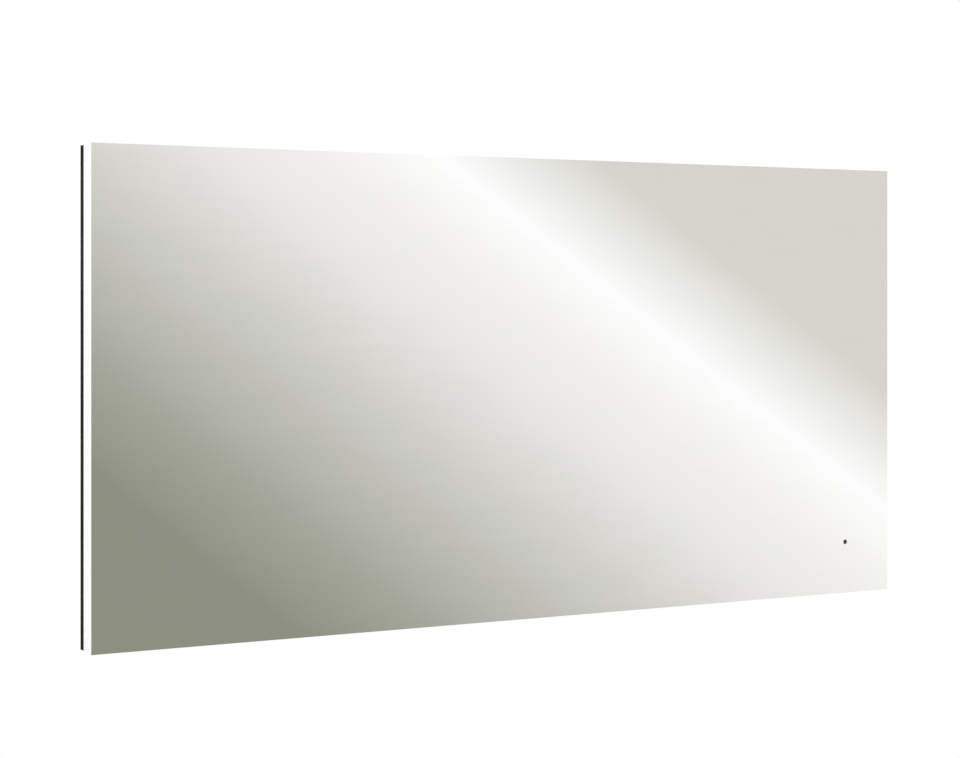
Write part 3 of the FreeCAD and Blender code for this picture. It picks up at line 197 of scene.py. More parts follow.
fill_inputs(tree, tree.nodes["Background"], {"Color": seen, "Strength": 1.0})
print("sky stops", len(ramp))

# %% [markdown]
# ## Lamps and floor
# Even light alone flattens small parts, so two large soft lamps add a direction: one over the camera's left
# shoulder for the front, and one behind the mirror for its back. They hang so high that the pane never
# shows them. The floor is a metre below, as under a real bathroom mirror. It is matt and takes the shadow
# near the mirror, and farther out it fades into the white backdrop, like a studio's curved paper.

# %% Lamps and floor
LAMP_AIM = (0, 0, -0.2)
LAMP_SIDE = 2.0
FLOOR_HEIGHT = -1.59
FLOOR_HALF = 15.0
FADE_START, FADE_END = 2.0, 4.0
PAPER_DARK = screen(228, 228, 226)
PAPER_LIGHT = screen(233, 233, 232)
FIBRES_PER_METRE = 40.0


def soft_lamp(name, place, aim, side, watts):
    """A square lamp whose face looks from its place to its aim."""
    data = bpy.data.lights.new(name, "AREA")
    data.size = side
    data.energy = watts
    lamp = bpy.data.objects.new(name, data)
    lamp.location = place
    away = lamp.location - Vector(aim)
    lamp.rotation_euler = away.to_track_quat("Z", "Y").to_euler()
    scene.collection.objects.link(lamp)


soft_lamp("front_lamp", (-2.4, -2.6, 2.6), LAMP_AIM, LAMP_SIDE, 34)
soft_lamp("rear_lamp", (-1.6, 2.6, 2.2), LAMP_AIM, LAMP_SIDE, 30)

floor_mesh = bpy.data.meshes.new("floor")
corners = [(x * FLOOR_HALF, y * FLOOR_HALF, FLOOR_HEIGHT) for x, y in ((-1, -1), (1, -1), (1, 1), (-1, 1))]
floor_mesh.from_pydata(corners, [], [(0, 1, 2, 3)])
floor = bpy.data.objects.new("floor", floor_mesh)
scene.collection.objects.link(floor)
floor.visible_glossy = False

paper = bpy.data.materials.new("floor_paper")
paper.use_nodes = True
tree = paper.node_tree
matt = tree.nodes["Principled BSDF"]
place = add_node(tree, "ShaderNodeTexCoord").outputs["Object"]
flat = add_node(tree, "ShaderNodeVectorMath", {0: place, 1: (1, 1, 0)}, operation="MULTIPLY").outputs[0]
distance = add_node(tree, "ShaderNodeVectorMath", {0: flat}, operation="LENGTH").outputs["Value"]
fibres = add_node(tree, "ShaderNodeTexNoise", {"Vector": place, "Scale": FIBRES_PER_METRE, "Detail": 3.0})
tone = blend(tree, fibres.outputs["Fac"], PAPER_DARK, PAPER_LIGHT)
fill_inputs(tree, matt, {"Base Color": tone, "Roughness": 0.9})
glow = add_node(tree, "ShaderNodeEmission", {"Color": FULL_WHITE, "Strength": 1.0})
fade = remap(tree, distance, FADE_START, FADE_END, 0.0, 1.0)
camera_sees = add_node(tree, "ShaderNodeLightPath").outputs["Is Camera Ray"]
shown = add_node(tree, "ShaderNodeMixShader", {0: calculate(tree, "MULTIPLY", fade, camera_sees),
                                               1: matt.outputs[0], 2: glow.outputs[0]})
tree.links.new(shown.outputs[0], tree.nodes["Material Output"].inputs["Surface"])
floor_mesh.materials.append(paper)
print("floor at", FLOOR_HEIGHT)

# %% [markdown]
# ## Effects that many finishes share
# Powder coat, moulded plastic, drawn aluminium and rubber differ in colour, but each is a fine pattern that
# shifts the tone a little and raises the surface a little. One node group makes that pattern, and each
# finish sets how dense it is along X, Y and Z: equal numbers give a grain, and one small number among them
# stretches the grain into the long lines of drawn or extruded metal.

# %% Groups: grain, spangle, settled dust and the distance from a rim


def new_group(name, inputs, outputs):
    """An empty node group with its sockets, as (tree, what comes in, what goes out)."""
    made = bpy.data.node_groups.new(name, "ShaderNodeTree")
    for title, kind, default in inputs:
        made.interface.new_socket(title, in_out="INPUT", socket_type=kind).default_value = default
    for title in outputs:
        made.interface.new_socket(title, in_out="OUTPUT", socket_type="NodeSocketFloat")
    return made, made.nodes.new("NodeGroupInput").outputs, made.nodes.new("NodeGroupOutput")


def add_group(tree, group, inputs=()):
    made = tree.nodes.new("ShaderNodeGroup")
    made.node_tree = group
    fill_inputs(tree, made, inputs)
    return made.outputs


def dense_place(tree, density):
    """The place on the piece, in features instead of metres."""
    spot = add_node(tree, "ShaderNodeTexCoord").outputs["Object"]
    return add_node(tree, "ShaderNodeVectorMath", {0: spot, 1: density}, operation="MULTIPLY").outputs[0]


DENSITY = ("Density", "NodeSocketVector", (1000.0, 1000.0, 1000.0))

grain, given, result = new_group("grain", [DENSITY], ["Tone", "Height"])
noise = add_node(grain, "ShaderNodeTexNoise", {"Vector": dense_place(grain, given["Density"]), "Scale": 1.0,
                                               "Detail": 2.0, "Roughness": 0.6}).outputs["Fac"]
fill_inputs(grain, result, {"Tone": remap(grain, noise, 0.3, 0.7, 0.0, 1.0), "Height": noise})

spangle, given, result = new_group("spangle", [DENSITY], ["Tone", "Height"])
spot = dense_place(spangle, given["Density"])
cells = add_node(spangle, "ShaderNodeTexVoronoi", {"Vector": spot, "Scale": 1.0}).outputs["Color"]
crystal = add_node(spangle, "ShaderNodeSeparateColor", {"Color": cells}).outputs["Red"]
frost = add_node(spangle, "ShaderNodeTexNoise", {"Vector": spot, "Scale": 14.0, "Detail": 3.0}).outputs["Fac"]
tone = calculate(spangle, "MULTIPLY_ADD", frost, 0.4, calculate(spangle, "MULTIPLY", crystal, 0.6))
fill_inputs(spangle, result, {"Tone": tone, "Height": tone})

dust, given, result = new_group("dust", [("Amount", "NodeSocketFloat", 0.2)], ["Mask"])
facing = add_node(dust, "ShaderNodeNewGeometry").outputs["Normal"]
upward = remap(dust, dot(dust, facing, (0, 0, 1)), 0.2, 0.9, 0.0, 1.0)
noise = add_node(dust, "ShaderNodeTexNoise", {"Vector": dense_place(dust, (160, 160, 160)), "Scale": 1.0,
                                              "Detail": 4.0}).outputs["Fac"]
specks = remap(dust, noise, 0.4, 0.75, 0.2, 1.0)
lying = calculate(dust, "MULTIPLY", calculate(dust, "MULTIPLY", upward, specks), given["Amount"])
fill_inputs(dust, result, {"Mask": lying})

rim, given, result = new_group("rim", [
    ("Half width", "NodeSocketFloat", 0.6), ("Middle height", "NodeSocketFloat", 0.0),
    ("Half height", "NodeSocketFloat", 0.3)], ["Distance", "Diagonal"])
spot = add_node(rim, "ShaderNodeTexCoord").outputs["Object"]
spot = add_node(rim, "ShaderNodeSeparateXYZ", {0: spot}).outputs
sideways = calculate(rim, "SUBTRACT", given["Half width"], calculate(rim, "ABSOLUTE", spot["X"]))
height = calculate(rim, "ABSOLUTE", calculate(rim, "SUBTRACT", spot["Z"], given["Middle height"]))
upwards = calculate(rim, "SUBTRACT", given["Half height"], height)
fill_inputs(rim, result, {
    "Distance": calculate(rim, "MINIMUM", sideways, upwards),
    "Diagonal": calculate(rim, "ABSOLUTE", calculate(rim, "SUBTRACT", sideways, upwards))})
print("groups", [group.name for group in bpy.data.node_groups])

# %% [markdown]
# ## Finishes with a grain
# Most of the mirror's parts share one recipe: two close tones mixed by a pattern, a roughness that drifts
# over broad patches as handling leaves it, a bump from the same pattern, and a trace of dust on faces that
# look up. A maker would tell these parts apart by their numbers, and so does this cell. Numbers that are the
# same all over a part, such as how metallic it is, go straight to the shader's own socket.

# %% One recipe, many finishes
DUST_TONE = screen(196, 192, 184)
finishes = {}


def finish(slot, dark, light, density, roughness, relief, pattern=grain, dusty=0.12, **sockets):
    """A finish for one slot. relief is the height of its pattern, in metres."""
    made = bpy.data.materials.new(slot)
    made.use_nodes = True
    graph = made.node_tree
    fine = add_group(graph, pattern, {"Density": density})
    broad = add_group(graph, grain, {"Density": (14, 14, 14)})
    settled = add_group(graph, dust, {"Amount": dusty})["Mask"]
    colour = blend(graph, settled, blend(graph, fine["Tone"], dark, light), DUST_TONE)
    raised = add_node(graph, "ShaderNodeBump", {"Strength": 1.0, "Distance": relief,
                                                "Height": fine["Height"]})
    inputs = {"Base Color": colour, "Roughness": remap(graph, broad["Tone"], 0.0, 1.0, *roughness),
              "Normal": raised.outputs["Normal"]}
    inputs.update({name.replace("_", " "): value for name, value in sockets.items()})
    fill_inputs(graph, graph.nodes["Principled BSDF"], inputs)
    finishes[slot] = made


EVEN = (1.0, 1.0, 1.0)


def dense(per_metre, stretch=EVEN):
    return tuple(per_metre * share for share in stretch)


ALONG_Z = (1.0, 1.0, 0.01)

finish("black_frame", screen(13, 13, 13), screen(19, 19, 20), dense(2600), (0.44, 0.56), 1.5e-5,
       dusty=0.03, Specular_IOR_Level=0.07)
finish("zinc_steel", screen(176, 181, 186), screen(214, 218, 222), dense(110), (0.28, 0.42), 6e-6,
       pattern=spangle, Metallic=1.0)
finish("screw_steel", screen(190, 192, 196), screen(222, 223, 226), dense(5000), (0.18, 0.30), 4e-6,
       Metallic=1.0)
finish("bar_aluminium", screen(196, 199, 203), screen(224, 226, 229), dense(2600, ALONG_Z), (0.26, 0.38),
       8e-6, Metallic=1.0)
finish("cast_zinc", screen(140, 142, 146), screen(178, 180, 184), dense(900), (0.42, 0.56), 3e-5,
       Metallic=1.0)
finish("box_plastic", screen(222, 222, 219), screen(230, 230, 228), dense(2400), (0.42, 0.55), 2.5e-5)
finish("white_plastic", screen(226, 226, 224), screen(234, 234, 232), dense(1200), (0.30, 0.42), 1e-5)
finish("black_rubber", screen(24, 24, 25), screen(38, 38, 39), dense(1800), (0.62, 0.80), 3e-5, dusty=0.2)
finish("lead_sheath", screen(26, 26, 27), screen(36, 36, 38), dense(1400), (0.36, 0.50), 1.2e-5, dusty=0.2)
finish("foam_tape", screen(28, 28, 29), screen(56, 56, 57), dense(3200), (0.85, 0.95), 6e-5)
finish("sensor_plastic", screen(30, 30, 31), screen(42, 42, 43), dense(2400), (0.40, 0.52), 2e-5)
finish("terminal_plastic", screen(28, 92, 62), screen(40, 112, 76), dense(1500), (0.25, 0.36), 1e-5)
finish("ferrite", screen(40, 40, 43), screen(66, 66, 70), dense(2200), (0.50, 0.68), 2e-5)
finish("black_gloss", screen(18, 18, 20), screen(28, 28, 31), dense(1100), (0.12, 0.22), 5e-6)
finish("copper", screen(158, 82, 40), screen(198, 116, 62), dense(3000), (0.20, 0.32), 5e-6, Metallic=1.0)
finish("film", screen(158, 163, 165), screen(172, 176, 178), dense(700), (0.34, 0.46), 1.5e-5)
print("finishes", len(finishes))

# %% [markdown]
# ## Seams at the frame's corners
# The frame's lengths are coated first and sawn to 45 degrees afterwards, so a hairline of bare metal shows
# where two lengths meet. A seam lies where a point is as far from the frame's side as from its end, which the
# rim group puts out as its distance from the diagonal.

# %% Bare hairlines on the black coat
BARE_METAL = screen(150, 152, 154)
SEAM_START, SEAM_END = 0.0001, 0.0003
frame_top_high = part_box("frame_top")[1]
frame_bottom_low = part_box("frame_bottom")[0]
coat = finishes["black_frame"].node_tree
diagonal = add_group(coat, rim, {
    "Half width": frame_top_high.x, "Middle height": (frame_top_high.z + frame_bottom_low.z) / 2,
    "Half height": (frame_top_high.z - frame_bottom_low.z) / 2})["Diagonal"]
seam = remap(coat, diagonal, SEAM_START, SEAM_END, 1.0, 0.0)
shader = coat.nodes["Principled BSDF"]
coated = shader.inputs["Base Color"].links[0].from_socket
fill_inputs(coat, shader, {"Base Color": blend(coat, seam, coated, BARE_METAL)})
print("seams on", finishes["black_frame"].name)

# %% [markdown]
# ## Silvered glass
# A bathroom mirror is float glass with silver behind it. Metal at almost no roughness gives the reflection,
# and three things keep it from looking like chrome: a faint green in its colour, the polished edge with a
# painted glow, which stands in for some of the lit band's light carried into the glass, and the long shallow
# waves that the float line leaves, which only bend a reflection by a hair. The edge and the drilled hole are
# found from the distance to the rim and to the hole, so one material serves the whole pane: metallic inside,
# glass at its edges.

# %% Mirror finish
pane_low, pane_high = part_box("mirror_glass")
lens_low, lens_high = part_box("sensor_lens")
lens_middle = (lens_low + lens_high) / 2
ARRIS = 0.0003
HOLE_RADIUS = 0.0032
SILVER_DULL, SILVER_CLEAR = (0.972, 0.982, 0.974, 1.0), (0.984, 0.990, 0.984, 1.0)
BACK_PAINT = screen(118, 124, 124)
BACK_ROUGHNESS, EDGE_ROUGHNESS = 0.4, 0.12
# Painted glow: this emission colour lights up the glass's front rim, standing in for the lit band's light
# carried into the edge.
PAINTED_EDGE_GLOW = (0.36, 0.37, 0.365, 1.0)
NO_GLOW = (0.0, 0.0, 0.0, 1.0)

mirror = bpy.data.materials.new("mirror")
mirror.use_nodes = True
tree = mirror.node_tree
edge = add_group(tree, rim, {"Half width": pane_high.x, "Middle height": (pane_low.z + pane_high.z) / 2,
                             "Half height": (pane_high.z - pane_low.z) / 2})["Distance"]
spot = add_node(tree, "ShaderNodeTexCoord").outputs["Object"]
hole_axis = (lens_middle.x, 0.0, lens_middle.z)
flat = add_node(tree, "ShaderNodeVectorMath", {0: spot, 1: (1, 0, 1)}, operation="MULTIPLY").outputs[0]
from_hole = add_node(tree, "ShaderNodeVectorMath", {0: flat, 1: hole_axis}, operation="DISTANCE")
from_hole = calculate(tree, "SUBTRACT", from_hole.outputs["Value"], HOLE_RADIUS)
nearest = calculate(tree, "MINIMUM", edge, from_hole)
silvered = calculate(tree, "GREATER_THAN", nearest, ARRIS)
bare = calculate(tree, "SUBTRACT", 1.0, silvered)
depth = add_node(tree, "ShaderNodeSeparateXYZ", {0: spot}).outputs["Y"]
front = calculate(tree, "LESS_THAN", depth, pane_high.y - ARRIS)
wiped = add_group(tree, grain, {"Density": (7, 7, 30)})["Tone"]
silver = blend(tree, wiped, SILVER_DULL, SILVER_CLEAR)
polished = blend(tree, add_group(tree, grain, {"Density": dense(900)})["Tone"],
                 screen(216, 224, 220), screen(224, 231, 228))
at_rim = calculate(tree, "MULTIPLY", calculate(tree, "LESS_THAN", edge, ARRIS), front)
# The front rim of the glass glows by painted emission, standing in for the band's light reaching the edge.
painted_rim_light = blend(tree, at_rim, NO_GLOW, PAINTED_EDGE_GLOW)
colour = blend(tree, front, BACK_PAINT, blend(tree, silvered, polished, silver))
wave = add_group(tree, grain, {"Density": (3, 3, 9)})["Height"]
waviness = add_node(tree, "ShaderNodeBump", {"Strength": 1.0, "Distance": 2e-5, "Height": wave})
fill_inputs(tree, tree.nodes["Principled BSDF"], {
    "Base Color": colour,
    "Metallic": calculate(tree, "MULTIPLY", silvered, front),
    "Roughness": weigh(tree, front, BACK_ROUGHNESS, calculate(tree, "MULTIPLY", bare, EDGE_ROUGHNESS)),
    "Emission Color": painted_rim_light,
    "Emission Strength": 1.0,
    "Normal": waviness.outputs["Normal"],
})
finishes["mirror"] = mirror
print("pane", tuple(pane_low), tuple(pane_high))

# %% [markdown]
# ## The lit band
# Opal plastic scatters the light of the diodes behind it. Close to a diode it is a touch brighter, between
# two it is a touch dimmer, and it falls off towards its edges and the corners, where the strips stop. The
# glow is written as that: a hump for each diode along the band, times a hump across it. Its sum with the
# room's light comes just to white, so the rhythm still shows. The upper band also catches the lamps from
# above, and its own glow is lower by as much.

# %% Opal and light strips
LED_PITCH = 0.0165
LED_HALF = 0.00175
leds_low, leds_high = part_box("leds_top")
LED_DEPTH = (leds_low.y + leds_high.y) / 2
CORNER_SHARE, CORNER_REACH = 0.90, 0.035
RIM_SHARE, RIM_START, RIM_END = 0.93, 0.004, 0.0130
RIPPLE = 0.015
GLOW = 0.70
UPPER_GLOW = 0.60
GLOW_WHITE = (1.0, 1.0, 0.995, 1.0)

glow_group, given, result = new_group("diode_glow", [
    ("Along", "NodeSocketVector", (1.0, 0.0, 0.0)), ("First", "NodeSocketFloat", 0.0),
    ("Middle", "NodeSocketFloat", 0.0), ("Half length", "NodeSocketFloat", 0.5)], ["Glow"])
spot = add_node(glow_group, "ShaderNodeTexCoord").outputs["Object"]
run = dot(glow_group, spot, given["Along"])
step = calculate(glow_group, "DIVIDE", calculate(glow_group, "SUBTRACT", run, given["First"]), LED_PITCH)
hump = calculate(glow_group, "COSINE", calculate(glow_group, "MULTIPLY", step, math.tau))
off = calculate(glow_group, "ABSOLUTE", calculate(glow_group, "SUBTRACT", run, given["Middle"]))
to_corner = calculate(glow_group, "SUBTRACT", given["Half length"], off)
corner = remap(glow_group, to_corner, 0.0, CORNER_REACH, CORNER_SHARE, 1.0)
depth = calculate(glow_group, "SUBTRACT", dot(glow_group, spot, (0, 1, 0)), LED_DEPTH)
across = remap(glow_group, calculate(glow_group, "ABSOLUTE", depth), RIM_START, RIM_END, 1.0, RIM_SHARE)
level = calculate(glow_group, "MULTIPLY", corner, across)
rhythm = calculate(glow_group, "MULTIPLY_ADD", hump, RIPPLE, 1 - RIPPLE)
level = calculate(glow_group, "MULTIPLY", level, rhythm)
fill_inputs(glow_group, result, {"Glow": level})


def opal_side(side, along, middle, strength=GLOW):
    """Opal lit from behind for one side. The first diode's place comes from that side's own row."""
    first_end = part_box(f"leds_{side}")[0].dot(Vector(along))
    band_low, band_high = (corner.dot(Vector(along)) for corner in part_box(f"diffuser_{side}"))
    made = bpy.data.materials.new(f"opal_{side}")
    made.use_nodes = True
    graph = made.node_tree
    glowing = add_group(graph, glow_group, {
        "Along": along, "First": first_end + LED_HALF, "Middle": middle,
        "Half length": (band_high - band_low) / 2})["Glow"]
    haze = add_group(graph, grain, {"Density": dense(2000)})
    satin = add_node(graph, "ShaderNodeBump", {"Strength": 1.0, "Distance": 1e-5, "Height": haze["Height"]})
    base = blend(graph, haze["Tone"], screen(158, 158, 156), screen(162, 162, 160))
    lit = blend(graph, glowing, NO_GLOW, GLOW_WHITE)
    fill_inputs(graph, graph.nodes["Principled BSDF"], {
        "Base Color": base, "Roughness": remap(graph, haze["Tone"], 0.0, 1.0, 0.38, 0.46),
        "Emission Color": lit, "Emission Strength": strength, "Normal": satin.outputs["Normal"]})
    return made


across_x, up_z = (1.0, 0.0, 0.0), (0.0, 0.0, 1.0)
pane_middle = (pane_low.z + pane_high.z) / 2
opal = {"top": opal_side("top", across_x, 0.0, UPPER_GLOW), "bottom": opal_side("bottom", across_x, 0.0),
        "left": opal_side("left", up_z, pane_middle), "right": opal_side("right", up_z, pane_middle)}
print("opal sides", sorted(opal))

# %% [markdown]
# ## Small lamps, boards and the window
# Four slots come next. The strip's printed tracks and the green boards with their copper tracks get a
# pattern of their own; the diodes' yellow phosphor and the smoked window of the switch, which is black to the
# eye and clear to infrared light, take the shared recipe.

# %% Strip, diode, board and window finishes


def tracks(graph, along, across, width):
    """1 where a track runs: the joints of a brick pattern laid along the sheet, in some areas of it only."""
    spot = add_node(graph, "ShaderNodeTexCoord").outputs["Object"]
    sheet = add_node(graph, "ShaderNodeCombineXYZ", {0: dot(graph, spot, along), 1: dot(graph, spot, across)})
    made = add_node(graph, "ShaderNodeTexBrick", {
        "Vector": sheet.outputs[0], "Color1": (0, 0, 0, 1), "Color2": (0, 0, 0, 1),
        "Mortar": (1, 1, 1, 1), "Scale": 1.0, "Mortar Size": width, "Mortar Smooth": 0.1,
        "Brick Width": 1.7, "Row Height": 0.6}, offset=0.37)
    joints = add_node(graph, "ShaderNodeSeparateColor", {"Color": made.outputs["Color"]}).outputs["Red"]
    areas = add_node(graph, "ShaderNodeTexNoise", {"Vector": spot, "Scale": 90.0, "Detail": 1.0})
    kept = remap(graph, areas.outputs["Fac"], 0.47, 0.50, 0.0, 1.0)
    return calculate(graph, "MULTIPLY", joints, kept)


def printed(slot, dark, light, track, along, across, width, roughness):
    """A printed sheet: a grain under tracks that stand a little proud."""
    made = bpy.data.materials.new(slot)
    made.use_nodes = True
    graph = made.node_tree
    weave = add_group(graph, grain, {"Density": dense(1800)})
    lines = tracks(graph, along, across, width)
    colour = blend(graph, lines, blend(graph, weave["Tone"], dark, light), track)
    raised = add_node(graph, "ShaderNodeBump", {"Strength": 1.0, "Distance": 2e-5, "Height": lines})
    fill_inputs(graph, graph.nodes["Principled BSDF"], {
        "Base Color": colour, "Roughness": remap(graph, weave["Tone"], 0.0, 1.0, *roughness),
        "Normal": raised.outputs["Normal"]})
    finishes[slot] = made


printed("board_green", screen(12, 74, 40), screen(18, 88, 50), screen(46, 128, 78),
        (160, 0, 0), (0, 0, 240), 0.05, (0.22, 0.34))
printed("strip", screen(226, 226, 220), screen(238, 238, 234), screen(196, 150, 96),
        (60, 0, 60), (0, 300, 0), 0.05, (0.30, 0.40))
finish("led", screen(226, 196, 92), screen(244, 220, 130), dense(4000), (0.25, 0.35), 5e-6)
finish("smoked_lens", screen(22, 20, 24), screen(34, 32, 36), dense(800), (0.03, 0.08), 1e-6, dusty=0.0,
       Coat_Weight=0.5, Coat_Roughness=0.03)
print("finishes", len(finishes))

# %% Give each solid its finish
for part in frame["record"]["subparts"]:
    node, slot = part["node"], part["material_slot"]
    made = opal[node.split("_")[1]] if slot == "opal" else finishes[slot]
    solid = frame["nodes"][node]
    if solid.material_slots:
        solid.material_slots[0].material = made
    else:
        solid.data.materials.append(made)

# %% [markdown]
# ## Turned and moulded pieces
# The solids have flat-topped screws and a plain lid, because simple faces suit their job. Up close the real
# ones are rounder. Each is a stack of rings: a ring is an outline at a depth, and joining ring to ring gives
# the skin. With whole arrays, one sum places every point, and the faces are the same index sum shifted along
# the rings and round them.

# %% Rings joined into skins


def loft(rings, hollow=False):
    """Points, quads and triangles of rings joined in order.

    Point j of ring i joins point j + 1 and both points of ring i + 1. The two ends close on their middles,
    or, if hollow, the last ring joins the first.
    """
    rings = np.asarray(rings, float)
    count, size = rings.shape[:2]
    points = rings.reshape(-1, 3)
    steps = count if hollow else count - 1
    i, j = np.meshgrid(np.arange(steps), np.arange(size), indexing="ij")
    following, around = (i + 1) % count, (j + 1) % size
    quads = np.stack([i * size + j, i * size + around, following * size + around, following * size + j], -1)
    if hollow:
        return points, quads.reshape(-1, 4), np.zeros((0, 3), int)
    middles = rings[[0, -1]].mean(1)
    k = np.arange(size)
    first = np.stack([np.full(size, len(points)), (k + 1) % size, k], -1)
    last = (count - 1) * size
    final = np.stack([np.full(size, len(points) + 1), last + k, last + (k + 1) % size], -1)
    return np.vstack([points, middles]), quads.reshape(-1, 4), np.vstack([first, final])


def repeat(shape, places):
    """The same skin at each place, as one skin."""
    points, quads, triangles = shape
    places = np.asarray(places, float)
    shift = (np.arange(len(places)) * len(points))[:, None, None]
    moved = (points[None] + places[:, None]).reshape(-1, 3)
    return moved, (quads[None] + shift).reshape(-1, 4), (triangles[None] + shift).reshape(-1, 3)


def together(shapes):
    """Several skins as one."""
    starts = np.cumsum([0] + [len(points) for points, _, _ in shapes])[:-1]
    points = np.vstack([shape[0] for shape in shapes])
    quads = np.vstack([shape[1] + start for shape, start in zip(shapes, starts)])
    triangles = np.vstack([shape[2] + start for shape, start in zip(shapes, starts)])
    return points, quads, triangles


def new_piece(name, shape, slot, nodes, body="mirror", sharp=35):
    """A piece from a skin: smooth but for edges over the sharp angle, faces outwards, riding on a body."""
    points, quads, triangles = shape
    mesh = bpy.data.meshes.new(name)
    mesh.from_pydata(points.tolist(), [], quads.tolist() + triangles.tolist())
    work = bmesh.new()
    work.from_mesh(mesh)
    bmesh.ops.recalc_face_normals(work, faces=work.faces)
    work.to_mesh(mesh)
    work.free()
    mesh.shade_smooth()
    mesh.set_sharp_from_angle(angle=math.radians(sharp))
    mesh.materials.append(finishes[slot])
    piece = bpy.data.objects.new(name, mesh)
    scene.collection.objects.link(piece)
    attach(piece, body)
    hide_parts(*nodes)
    print(name, len(mesh.polygons), "faces")
    return piece


def at_depths(outlines, depths):
    """Rings across the wall's direction: outline points (x, z) at distances w from the wall, so y = -w."""
    depths = np.broadcast_to(np.asarray(depths, float)[:, None], outlines.shape[:2])
    return np.stack([outlines[..., 0], -depths, outlines[..., 1]], -1)


def circles(radii, angles):
    """Outlines (radius cos t, radius sin t), one for each radius."""
    ring = np.stack([np.cos(angles), np.sin(angles)], -1)
    return np.asarray(radii, float)[:, None, None] * ring[None]


# %% [markdown]
# ## Pan-head screws
# A pan head is a low dome with a cross recess. The recess is star-shaped about the screw's axis, so its wall
# is one more ring: along the direction t its edge lies at the larger of min(a / |cos t|, h / |sin t|) and
# min(a / |sin t|, h / |cos t|), for arms of length a and half width h. The angles include the recess's
# corners, and so they stay crisp.

# %% Screws


def recess_angles(arm, half, steps=4):
    """Angles round the axis that meet each corner of the cross."""
    narrow = math.atan2(half, arm)
    corners = np.array([0, narrow, math.pi / 4, math.pi / 2 - narrow])
    ends = np.append(corners[1:], math.pi / 2)
    quadrant = (corners[:, None] + (ends - corners)[:, None] * np.arange(steps) / steps).ravel()
    return (quadrant[None] + np.arange(4)[:, None] * math.pi / 2).ravel()


def cross_outline(arm, half, angles):
    c = np.maximum(np.abs(np.cos(angles)), 1e-9)
    s = np.maximum(np.abs(np.sin(angles)), 1e-9)
    reach = np.maximum(np.minimum(arm / c, half / s), np.minimum(arm / s, half / c))
    return reach[:, None] * np.stack([np.cos(angles), np.sin(angles)], -1)


def pan_screw(seat, length, shank, head, high, arm=0.0016, half=0.0004, deep=0.0010):
    """Rings of a screw whose head looks at the wall: the dome's height at radius r is
    high * (1 - 0.45 (r / head)^4), and its rim is rounded."""
    angles = recess_angles(arm, half)
    dome = np.array([0.985, 0.93, 0.84, 0.72, 0.58])
    radii = np.concatenate([[shank * 0.7, shank, shank, head * 0.97, head, head], head * dome])
    rise = high * (1 - 0.45 * dome ** 4)
    depths = np.concatenate([[seat + length, seat + length - 0.0005, seat, seat, seat - high * 0.08,
                              seat - high * 0.42], seat - rise])
    outlines = circles(radii, angles)
    recess = cross_outline(arm, half, angles)
    outlines = np.concatenate([outlines, [recess, recess * 0.86]])
    depths = np.concatenate([depths, [seat - high, seat - high + deep]])
    return loft(at_depths(outlines, depths))


LARGE = {"shank": 0.00195, "head": 0.0036, "high": 0.0022}
SMALL = {"shank": 0.0012, "head": 0.0026, "high": 0.0016}
PAIR = np.array([-1.0, 1.0])


def spots(across, heights):
    """Every pair of a place across and a height, mirrored left and right."""
    x = (np.asarray(across)[:, None] * PAIR).ravel()
    grid = np.array(np.meshgrid(x, heights)).reshape(2, -1).T
    return np.stack([grid[:, 0], np.zeros(len(grid)), grid[:, 1]], -1)


def pan_screws(name, node, across, size):
    """Screws for one node, whose box gives their seat, their length and the heights of their rows."""
    low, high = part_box(node)
    seat = size["high"] - high.y
    rows = sorted({round(low.z + size["head"], 5), round(high.z - size["head"], 5)})
    screw = pan_screw(seat, -low.y - seat, **size)
    new_piece(name, repeat(screw, spots(across, rows)), "screw_steel", [node])


pan_screws("rail_pan_screws", "hanger_screws", [0.132, 0.148, 0.270, 0.400], LARGE)
pan_screws("bar_pan_screws", "crossbar_screws", [0.132, 0.148], LARGE)
pan_screws("box_pan_screws", "control_box_screws", [0.140], LARGE)
pan_screws("lid_pan_screws", "control_lid_screws", [0.120], SMALL)
pan_screws("board_pan_screws", "driver_board_screws", [0.106], SMALL)

# %% [markdown]
# ## The control box's lid
# A moulded lid isn't a sharp plate: its rim is rounded, and its middle is raised a little, which stiffens
# it. Rings of rounded rectangles, each set in from the one before, give both.

# %% Lid


def rounded_rectangles(width, height, radius, insets, steps=6):
    """Outlines of a rounded rectangle, set in by each inset: four corner arcs, whose radius
    shrinks with it."""
    insets = np.asarray(insets, float)[:, None]
    radii = np.maximum(radius - insets, 0.0006)
    arc = np.linspace(0, math.pi / 2, steps)
    angles = (arc[None] + np.arange(4)[:, None] * math.pi / 2).ravel()
    side_x = np.repeat([1, -1, -1, 1], steps)
    side_z = np.repeat([1, 1, -1, -1], steps)
    x = side_x * (width / 2 - insets - radii) + radii * np.cos(angles)
    z = side_z * (height / 2 - insets - radii) + radii * np.sin(angles)
    return np.stack([x, z], -1)


lid_low, lid_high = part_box("control_lid")
lid_back, lid_front = -lid_high.y, -lid_low.y
LID_CORNER = 0.003
rim_insets = [0, 0, 0, 0.0001, 0.0003, 0.0006]
rim_depths = [lid_front, lid_front - 0.0003, lid_back + 0.0006, lid_back + 0.0003, lid_back + 0.0001,
              lid_back]
panel_insets = [0.0016, 0.0092, 0.0096, 0.0101, 0.0106, 0.0110, 0.0120]
panel_rises = [0, 0, 0.0001, 0.0003, 0.0005, 0.0006, 0.0006]
lid_depths = rim_depths + [lid_back - rise for rise in panel_rises]
outlines = rounded_rectangles(lid_high.x - lid_low.x, lid_high.z - lid_low.z, LID_CORNER,
                              rim_insets + panel_insets)
outlines[..., 1] += (lid_low.z + lid_high.z) / 2
new_piece("moulded_lid", loft(at_depths(outlines, lid_depths)), "box_plastic", ["control_lid"])

